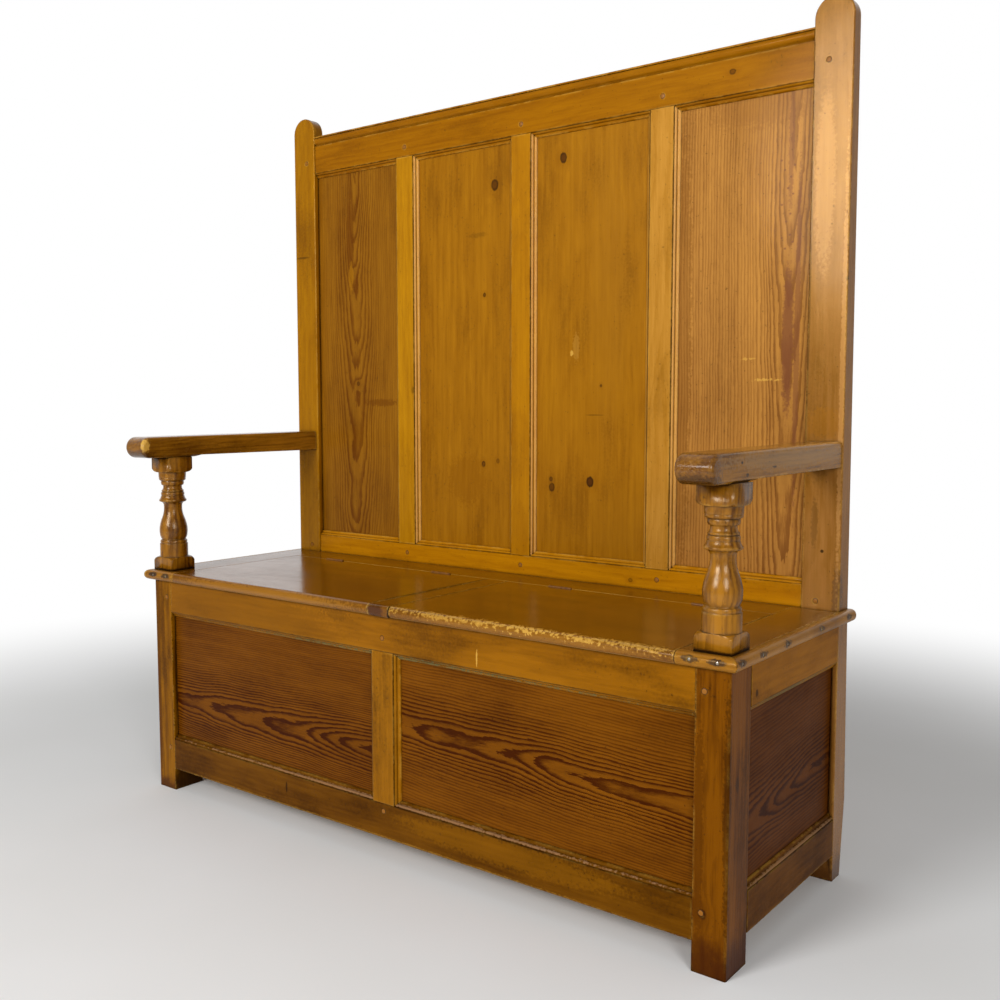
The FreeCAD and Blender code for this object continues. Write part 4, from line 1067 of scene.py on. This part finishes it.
class SETTLE_OT_metal(bpy.types.Operator):
    """Makes the pegs, nails and screws, and finishes the hinges"""

    bl_idname = "settle.metal"
    bl_label = "Pegs, nails and hinges"

    def execute(self, context):
        palette, sizes = context.scene.settle_timber, context.scene.settle_sizes
        front, back = Vector((0, -1, 0)), Vector((0, 1, 0))

        values = {
            "Head radius": sizes.peg_radius, "Foot radius": sizes.peg_radius * 0.92,
            "Head depth": sizes.peg_length, "Dome": sizes.peg_dome, "Sides": sizes.peg_sides, "Seed": 7,
        }
        heads = heads_of("joint_pegs", lambda low, high: front, sizes.peg_dome)
        tree = fastener_tree("settle_pegs", shank=False, slot=False)
        fasteners("oak_pegs", "joint_pegs", tree, values, heads, peg_wood(palette))

        def nail_way(low, high):
            size = high - low
            return Vector((math.copysign(1, low.x), 0, 0)) if size.x > size.y else front

        values = {
            "Head radius": sizes.nail_radius, "Foot radius": sizes.nail_radius * 0.8,
            "Head depth": sizes.nail_head, "Dome": sizes.nail_dome, "Sides": NAIL_SIDES,
            "Shank radius": sizes.nail_shank, "Length": sizes.nail_length, "Seed": 11,
        }
        heads = heads_of("nosing_nails", nail_way, sizes.nail_dome)
        tree = fastener_tree("settle_nails", shank=True, slot=False)
        fasteners("nosing_nail_heads", "nosing_nails", tree, values, heads, nail_iron())

        iron = browned_iron(palette)
        for node in ("hinge_fixed_leaves", "lid_left_hinge_leaves", "lid_right_hinge_leaves", "hinge_pins"):
            dress(node, iron)
        values = {
            "Head radius": sizes.screw_radius, "Foot radius": sizes.screw_shank,
            "Head depth": sizes.screw_head, "Sides": SCREW_SIDES, "Shank radius": sizes.screw_shank,
            "Length": sizes.screw_length, "Slot": sizes.screw_slot, "Seed": 13,
        }
        tree = fastener_tree("settle_screws", shank=True, slot=True)
        for leaf, way in (("lid_left_hinge", back), ("lid_right_hinge", back), ("hinge_fixed", front)):
            node = leaf + "_screws"
            heads = heads_of(node, lambda low, high: way)
            fasteners(leaf + "_slotted_screws", node, tree, values, heads, iron)
        return {"FINISHED"}


def studio_floor(stage):
    """The floor's material: pale, white far away and, in reflections, white behind and to the left."""
    s = Shader("studio_floor")
    place = s.place()
    s.set("Base Color", s.mix(stage.floor, paint(232, 232, 230), s.grain(place, 400.0, 1.0)))
    s.set("Roughness", 0.8)
    s.set("Specular IOR Level", 0.1)
    white = s.add("ShaderNodeEmission", None, {"Color": (1.0, 1.0, 1.0), "Strength": 1.0})
    seen = s.add("ShaderNodeLightPath", None, (), out="Is Camera Ray")
    shiny = s.add("ShaderNodeLightPath", None, (), out="Is Glossy Ray")
    far = s.step(s.nearness(place, (0, 0, 0), (1 / MM,) * 3), 1.1, 2.6)
    here = s.split(place)
    behind = s.step(here["y"], -400.0, 400.0) * s.step(here["x"], 600.0, -600.0)
    share = far * seen.calc("MAXIMUM", shiny * behind)
    surface = s.add("ShaderNodeMixShader", None, [share, Value(s, s.surface.outputs[0]), white])
    output = next(n for n in s.tree.nodes if n.type == "OUTPUT_MATERIAL")
    s.feed(output.inputs["Surface"], surface)
    return s.material


def studio_world(stage):
    """White to the camera, even light for the wood, and in the wax white behind and a dim room in front."""
    world = bpy.data.worlds.new("studio")
    world.use_nodes = True
    g = Graph(world.node_tree)
    back = world.node_tree.nodes["Background"]
    camera = g.add("ShaderNodeLightPath", None, (), out="Is Camera Ray")
    shiny = g.add("ShaderNodeLightPath", None, (), out="Is Glossy Ray")
    way = g.split(g.add("ShaderNodeTexCoord", None, (), out="Generated"))
    open_back = g.add("ShaderNodeMapRange", None, [way["y"], -0.25, 0.15, 0.0, 1.0])
    open_left = g.add("ShaderNodeMapRange", None, [way["x"], 0.35, -0.1, 0.0, 1.0])
    room = open_back * open_left * (1.0 - stage.room) + stage.room
    level = shiny * room + (1.0 - shiny) * stage.sky
    g.feed(back.inputs["Color"], (1, 1, 1))
    g.feed(back.inputs["Strength"], camera + (1.0 - camera) * level)
    return world


def add_light(name, place, target, size, power):
    data = bpy.data.lights.new(name, "AREA")
    data.shape = "DISK"
    data.size = size
    data.energy = power
    lamp = bpy.data.objects.new(name, data)
    bpy.context.scene.collection.objects.link(lamp)
    lamp.location = place
    aim = Vector(target) - Vector(place)
    lamp.rotation_euler = aim.to_track_quat("-Z", "Y").to_euler()


class SETTLE_OT_stage(bpy.types.Operator):
    """Makes the floor, the lights and the camera"""

    bl_idname = "settle.stage"
    bl_label = "Stage"

    def execute(self, context):
        scene, stage = context.scene, context.scene.settle_stage
        mesh = bpy.data.meshes.new("floor")
        r = FLOOR_REACH
        mesh.from_pydata([(-r, -r, 0), (r, -r, 0), (r, r, 0), (-r, r, 0)], [], [(0, 1, 2, 3)])
        mesh.materials.append(studio_floor(stage))
        floor = bpy.data.objects.new("floor", mesh)
        scene.collection.objects.link(floor)
        scene.world = studio_world(stage)

        add_light("key", (-0.45, -3.6, 2.0), (0.1, 0.1, 0.7), 1.5, stage.key_power)
        add_light("side", (2.9, -2.2, 1.6), (0.0, 0.1, 0.7), 1.1, stage.side_power)

        data = bpy.data.cameras.new("camera")
        data.sensor_width = SENSOR_WIDTH
        data.lens = stage.lens
        camera = bpy.data.objects.new("camera", data)
        scene.collection.objects.link(camera)
        camera.location = CAMERA_PLACE
        camera.rotation_euler = (math.pi / 2 - stage.tip, 0, stage.turn)
        scene.camera = camera
        scene.view_settings.view_transform = "Standard"
        return {"FINISHED"}


OPERATORS = (
    SETTLE_OT_back_frame,
    SETTLE_OT_back_panels,
    SETTLE_OT_box,
    SETTLE_OT_inside,
    SETTLE_OT_seat,
    SETTLE_OT_arms,
    SETTLE_OT_metal,
    SETTLE_OT_stage,
)


class SETTLE_PT_panel(bpy.types.Panel):
    """Lists the settle's pieces"""

    bl_idname = "SETTLE_PT_panel"
    bl_label = "Pine settle"
    bl_space_type = "VIEW_3D"
    bl_region_type = "UI"
    bl_category = "Settle"

    def draw(self, context):
        for operator in OPERATORS:
            self.layout.operator(operator.bl_idname)
        for group in (context.scene.settle_timber, context.scene.settle_sizes, context.scene.settle_stage):
            box = self.layout.box()
            for name in group.bl_rna.properties.keys():
                if name not in {"rna_type", "name"}:
                    box.prop(group, name)


GROUPS = {
    "settle_timber": SETTLE_PG_timber,
    "settle_sizes": SETTLE_PG_sizes,
    "settle_stage": SETTLE_PG_stage,
}


def register():
    for group in GROUPS.values():
        bpy.utils.register_class(group)
    for name, group in GROUPS.items():
        setattr(bpy.types.Scene, name, PointerProperty(type=group))
    for kind in (*OPERATORS, SETTLE_PT_panel):
        bpy.utils.register_class(kind)


def unregister():
    for kind in reversed((*OPERATORS, SETTLE_PT_panel)):
        bpy.utils.unregister_class(kind)
    for name in GROUPS:
        delattr(bpy.types.Scene, name)
    for group in reversed(GROUPS.values()):
        bpy.utils.unregister_class(group)


def main():
    register()
    for operator in OPERATORS:
        family, name = operator.bl_idname.split(".")
        getattr(getattr(bpy.ops, family), name)()


if __name__ == "__main__":
    main()
